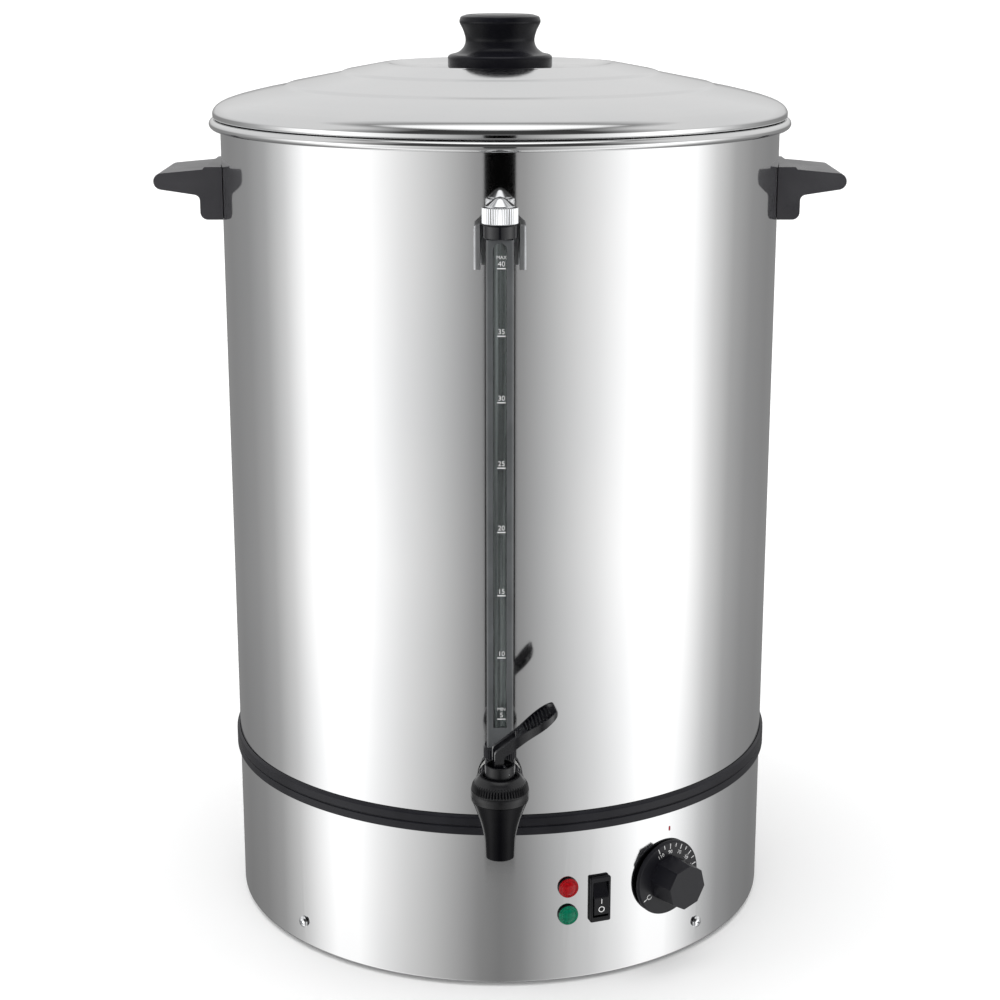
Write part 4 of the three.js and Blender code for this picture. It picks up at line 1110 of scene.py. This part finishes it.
def build_valve():
    stem_low, stem_top = heights("valve_stem")
    stem = lathe(softened([
        (0.01, stem_low, 0), (1.9, stem_low, 0.3), (1.9, stem_low + 3, 0.2), (5, stem_low + 3, 0.3),
        (5, stem_low + 3.9, 0.3), (1.9, stem_low + 3.9, 0.2), (1.9, stem_top - 1.5, 0.2),
        (3.2, stem_top - 1.5, 0.3), (3.2, stem_top, 0.5), (0.01, stem_top, 0),
    ], 0.2), 48)
    piece(on_head(stem), "lift_stem", "valve_stem", SATIN, "plain_steel", "valve_stem")

    cup_low = low("seat_cup").z
    lip = cup_low + 4.2
    socket = cup_low + 1.3
    cup = lathe(softened([
        (0.01, cup_low, 0), (9.4, cup_low, 0.5), (9.8, cup_low + 1.1, 0.4), (7, lip, 0.8),
        (2.2, lip, 0.3), (2.2, socket, 0.2), (0.01, socket, 0),
    ], 0.3), SMALL)
    piece(on_head(cup), "rubber_seat", "valve_stem", SILICONE, "silicone", "seat_cup")

    wire = 0.45
    bottom = low("tap_spring").z + wire
    top = high("tap_spring").z - wire
    turns = 4
    radius = 3.6
    steps = 96
    coil = []
    for i in range(steps + 1):
        angle = turns * 2 * math.pi * i / steps
        height = bottom + (top - bottom) * i / steps
        coil.append((radius * math.cos(angle), radius * math.sin(angle), height))
    spring = on_head(sweep(coil, wire))
    piece(spring, "closing_spring", "kettle", SATIN, "plain_steel", "tap_spring")
    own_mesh(spring)


# The controls.

def build_lamps():
    face = TANK_RADIUS + 0.4
    for name, material in (("red", RED), ("green", GREEN)):
        height = middle(f"{name}_lamp_lens").z
        bezel = facing_out(lathe(softened([
            (0.01, 172, 0), (4.5, 172, 0.5), (4.5, face, 0), (LAMP_RADIUS, face, 0.2),
            (LAMP_RADIUS, face + 0.8, 0.4), (LAMP_RADIUS - 0.3, face + 1.1, 0.2),
            (LAMP_RADIUS - 0.6, face + 1.1, 0.1), (LAMP_RADIUS - 0.6, face + 0.5, 0.1),
            (0.01, face + 0.5, 0),
        ], 0.2), SMALL))
        bezel = at_station(bezel, LAMP_AZIMUTH, height)
        piece(bezel, f"{name}_lamp_bezel", "kettle", SWITCH_BLACK, "black_plastic", f"{name}_lamp_body")
        rim = LAMP_RADIUS - 0.2
        dome = facing_out(lathe(softened([
            (0.01, face + 0.8, 0), (rim - 0.6, face + 0.8, 0.1), (rim - 0.6, face + 1.3, 0.1),
            (rim, face + 1.3, 0.2), (rim, face + 2, 0.5), (rim - 1, face + 2.9, 0.6),
            (rim - 1.7, face + 2.4, 0.4), (rim - 2.2, face + 3, 0.5), (2.4, face + 3.9, 1.4),
            (0.01, face + 4.1, 0),
        ], 0.3), SMALL))
        dome = at_station(dome, LAMP_AZIMUTH, height)
        piece(dome, f"{name}_lamp_dome", "kettle", material, f"{name}_lens", f"{name}_lamp_lens")


def build_switch():
    face = TANK_RADIUS + 0.5
    front = face + 2.7
    bezel = bevelled(prism(rectangle(14.5, 32, 1.2), face, front), 0.7, 3)
    housing = prism(rectangle(12.4, 28, 0.8), 168, face + 1)
    well = prism(rectangle(11.1, 25, 0.5), 180.2, front + 5)
    body = bevelled(cut(fused(bezel, housing), well), 0.15, 2, 50)
    body = at_station(body, SWITCH_AZIMUTH, SWITCH_HEIGHT)
    piece(body, "switch_bezel", "kettle", SWITCH_BLACK, "black_plastic", "switch_body")

    tilt = 10
    pivot = 188.5
    half_height = 11.2
    dip = 2.2

    def face(share):
        """How far out the paddle's hollow face is, at a share of its half height."""
        return 6.4 - dip * share - 0.9 * share * (1 - share)

    hollow = [(face(share), half_height * share) for share in (i / 6 for i in range(7))]
    outline = [(-5, -9), *((out, -up) for out, up in reversed(hollow[1:])), *hollow, (-5, 9)]
    paddle = turned_by(bevelled(prism(outline, -5.15, 5.15), 0.35, 3), "Z", -90)
    rocker = at_station(moved(turned_by(paddle, "X", -tilt), y=-pivot), SWITCH_AZIMUTH, SWITCH_HEIGHT)
    piece(rocker, "rocker_paddle", "switch_rocker", SWITCH_BLACK, "black_plastic", "switch_rocker")

    slope = math.degrees(math.atan2(dip, half_height))
    angle = math.radians(-tilt)
    for name, text, size, up in (("on", "I", 5, -1.9), ("off", "O", 6, -7.6)):
        mark = turned_by(lettering(text, size, 0.3), "X", slope - tilt)
        out = face(-up / half_height)
        y = -out * math.cos(angle) - up * math.sin(angle)
        z = -out * math.sin(angle) + up * math.cos(angle)
        mark = at_station(moved(mark, y=y - pivot, z=z), SWITCH_AZIMUTH, SWITCH_HEIGHT)
        piece(mark, f"rocker_mark_{name}", "switch_rocker", WHITE_INK, "black_plastic")


def build_dial():
    back = TANK_RADIUS + 0.7
    front = reach_along("thermostat_knob", DIAL_AZIMUTH)
    shaft = 3.3
    disc = lathe(softened([
        (shaft, back, 0), (DIAL_RADIUS - 0.5, back, 0.2), (DIAL_RADIUS, back + 0.5, 0.2),
        (DIAL_RADIUS, back + 1.6, 0.4), (DIAL_RADIUS - 1.2, back + 2.6, 0.4),
        (shaft, back + 4.1, 0),
    ], 0.3), 128, ring=True)
    root = back + 3
    grip = lathe([(0, root), (16.3, root), (15.4, front), (0, front)], 8)
    bore = rod(shaft, back, front - 10.6)  # blind, for the thermostat's shaft
    grip = bevelled(turned_by(cut(grip, bore), "Z", DIAL_GRIP_TURN), 0.7, 3, 30)
    knob = at_station(facing_out(gathered(disc, grip)), DIAL_AZIMUTH, DIAL_HEIGHT)
    piece(knob, "dial_knob", "thermostat_knob", DIAL_BLACK, "black_plastic", "thermostat_knob")

    def on_disc(obj, radius, clockwise):
        """Moves a mark made at the origin out to a radius on the disc's sloping face."""
        height = back + 2.6 + 1.5 * (DIAL_RADIUS - 1.2 - radius) / (DIAL_RADIUS - 4.5)
        obj = turned_by(moved(obj, y=-height, z=radius), "Y", clockwise)
        return at_station(obj, DIAL_AZIMUTH, DIAL_HEIGHT)

    under = -0.2
    proud = 0.14
    marks = []
    for i in range(9):
        angle = 12.5 * i - 22
        numbered = i % 2 == 0
        tick = prism(rectangle(0.6, 3.6 if numbered else 2.6, 0.15), under, proud)
        marks.append(on_disc(moved(tick, z=0 if numbered else 0.5), 22.6, angle))
        if numbered:
            marks.append(on_disc(lettering(str(110 - 10 * i), 3.6, 0.3), 18.6, angle))
    off_angle = -120
    off_ring = prism(arc(0, 0, 1.9, -60, 240, 14) + arc(0, 0, 1.4, 240, -60, 14), under, proud)
    marks.append(on_disc(off_ring, 19.2, off_angle))
    marks.append(on_disc(prism(rectangle(0.6, 2.8, 0.1), under, proud), 22.8, off_angle))
    piece(gathered(*marks), "dial_scale", "thermostat_knob", WHITE_INK, "black_plastic")

    pointer_azimuth = 36.7
    pointer_height = 94
    pointer = prism(rectangle(1.4, 3.2, 0.5), TANK_RADIUS - 0.2, TANK_RADIUS + 0.12)
    pointer = at_station(pointer, pointer_azimuth, pointer_height)
    piece(pointer, "dial_pointer_mark", "kettle", RED_INK, "red_lens")


def build_gland():
    face = TANK_RADIUS + 0.5
    reach = high("cable_gland").y
    bore = 4.4
    crest = 11.6
    knurl = 0.7
    nose = [(9.8, face + 5.2), (8.6, reach - 3), (8, reach, 0.5), (bore, reach, 0.5)]
    gland = lathe([
        (bore, 178), (7.2, 178), (7.2, face), (11.2, face),
        (crest, face + 0.4), (crest, face + 0.7, knurl), (crest, face + 3.1, knurl),
        (11.3, face + 3.6),
        *softened(nose, 1, closed=False),
    ], ring=True, teeth=16)
    gland = at_station(facing_out(gland), 180, GLAND_HEIGHT)
    piece(gland, "lead_gland", "kettle", BLACK, "black_plastic", "cable_gland")


# The finish of each slot, for the CAD nodes that keep their own shape.
SLOT_FINISHES = {
    "polished_steel": STEEL,
    "plain_steel": SATIN,
    "chrome": CHROME,
    "black_plastic": BLACK,
    "grey_plastic": GREY,
    "band_rubber": BAND_RUBBER,
    "silicone": SILICONE,
    "brass": BRASS,
    "aluminium": ALUMINIUM,
    "ceramic": CERAMIC,
    "red_lens": RED,
    "green_lens": GREEN,
    "glass": GLASS,
}


def finish_frame_nodes():
    for subpart in frame["record"]["subparts"]:
        data = frame["nodes"][subpart["node"]].data
        data.materials.clear()
        data.materials.append(SLOT_FINISHES[subpart["material_slot"]])


# Camera, floor and light.

def build_camera():
    data = bpy.data.cameras.new("camera")
    data.lens = 74.69
    data.sensor_width = 36
    tilt = 14.977  # degrees below level
    camera = bpy.data.objects.new("camera", data)
    camera.location = (0, -1.40665, 0.6687)
    camera.rotation_euler = (math.radians(90 - tilt), 0, 0)
    bpy.context.scene.collection.objects.link(camera)
    bpy.context.scene.camera = camera


def build_floor():
    bpy.ops.mesh.primitive_plane_add(size=80, location=(0, 0, 0))
    floor = bpy.context.object
    floor.name = "floor"
    paper = Finish("paper_floor", (0.93, 0.93, 0.93), 0.9, Specular_IOR_Level=0.1)
    paper.vary_color(paper.noise(paper.place(), 0.6), (0.92, 0.92, 0.92))
    floor.data.materials.append(paper.material)
    floor.visible_glossy = False


def build_light():
    sun = bpy.data.lights.new("softbox", "SUN")
    sun.energy = 2.5
    sun.angle = math.radians(90)
    lamp = bpy.data.objects.new("softbox", sun)
    lamp.rotation_euler = (math.radians(25), math.radians(-6), 0)
    lamp.visible_glossy = False
    bpy.context.scene.collection.objects.link(lamp)

    world = bpy.data.worlds.new("studio")
    bpy.context.scene.world = world
    world.use_nodes = True
    sky = Nodes(world.node_tree)
    background = sky.tree.nodes["Background"]
    brightest = 1.9

    def ramp(angle, span, stops):
        """A radiance that follows an angle; both are in the stops."""
        node = sky.node("ShaderNodeValToRGB")
        sky.join(sky.math("DIVIDE", angle, math.radians(span)), node.inputs[0])
        elements = node.color_ramp.elements
        for position, _ in stops[1:-1]:
            elements.new(position / span)
        for element, (_, value) in zip(elements, stops):
            element.color = (*(value / brightest,) * 3, 1)
        return node.outputs[0]

    def blend(factor, first, second):
        """Goes from the first to the second as the factor goes from 0 to 1."""
        node = sky.node("ShaderNodeMix")
        for socket, value in ((0, factor), (2, first), (3, second)):
            sky.join(value, node.inputs[socket])
        return node.outputs[0]

    def step(source, start, end):
        """Goes from 0 to 1 between two angles in degrees."""
        return sky.ranged(source, math.radians(start), math.radians(end))

    # Azimuth is measured from the camera's side, and elevation from level.
    split = sky.node("ShaderNodeSeparateXYZ")
    sky.join(sky.node("ShaderNodeTexCoord").outputs["Generated"], split.inputs[0])
    x, y, z = split.outputs
    azimuth = sky.math("ABSOLUTE", sky.math("ARCTAN2", x, sky.math("MULTIPLY", y, -1.0)))
    elevation = sky.math("ARCSINE", z)
    around = ramp(azimuth, 180, (
        (0, 0.30), (9, 0.36), (20, 0.58), (40, 0.98), (53, 1.3), (64, 1.65), (76, 1.65), (86, 1.25),
        (97, 0.78), (110, 0.46), (125, 0.33), (145, 0.27), (180, 0.26)))
    front_above = ramp(elevation, 90, ((0, 0.3), (6, 0.12), (20, 0.05), (60, 0.05), (70, 1.2), (90, 1.5)))
    back_above = ramp(elevation, 90, ((0, 0.6), (15, 0.78), (50, 0.78), (62, 0.3), (70, 1.2), (90, 1.5)))
    above = blend(step(azimuth, 40, 75), front_above, back_above)
    level = blend(step(elevation, -2, 4), around, above)

    # A narrow dark card straight ahead: the black line down the middle of the tank.
    narrow = sky.math("LESS_THAN", azimuth, math.radians(6.2))
    below = sky.math("LESS_THAN", elevation, 0.0)
    bottom = sky.math("GREATER_THAN", elevation, math.radians(-24.6))
    card = sky.math("MULTIPLY", narrow, sky.math("MULTIPLY", below, bottom))
    shade = sky.math("SUBTRACT", 1.0, sky.math("MULTIPLY", card, 0.996))
    floor_glow = sky.math("ADD", 0.74, sky.math("MULTIPLY", step(elevation, -28, -17), 0.26))
    strength = sky.math("MULTIPLY", sky.math("MULTIPLY", shade, floor_glow), brightest)
    sky.join(level, background.inputs["Color"])
    sky.join(strength, background.inputs["Strength"])
    bpy.context.scene.view_settings.view_transform = "Standard"


build_camera()
build_floor()
build_light()
finish_frame_nodes()
build_tank()
build_band()
build_skirt()
build_base()
build_lid()
build_handles()
build_gauge_top()
build_gauge_glass()
build_tap_body()
build_bonnet()
build_tap_nuts()
build_lever()
build_tap_head()
build_valve()
build_lamps()
build_switch()
build_dial()
build_gland()
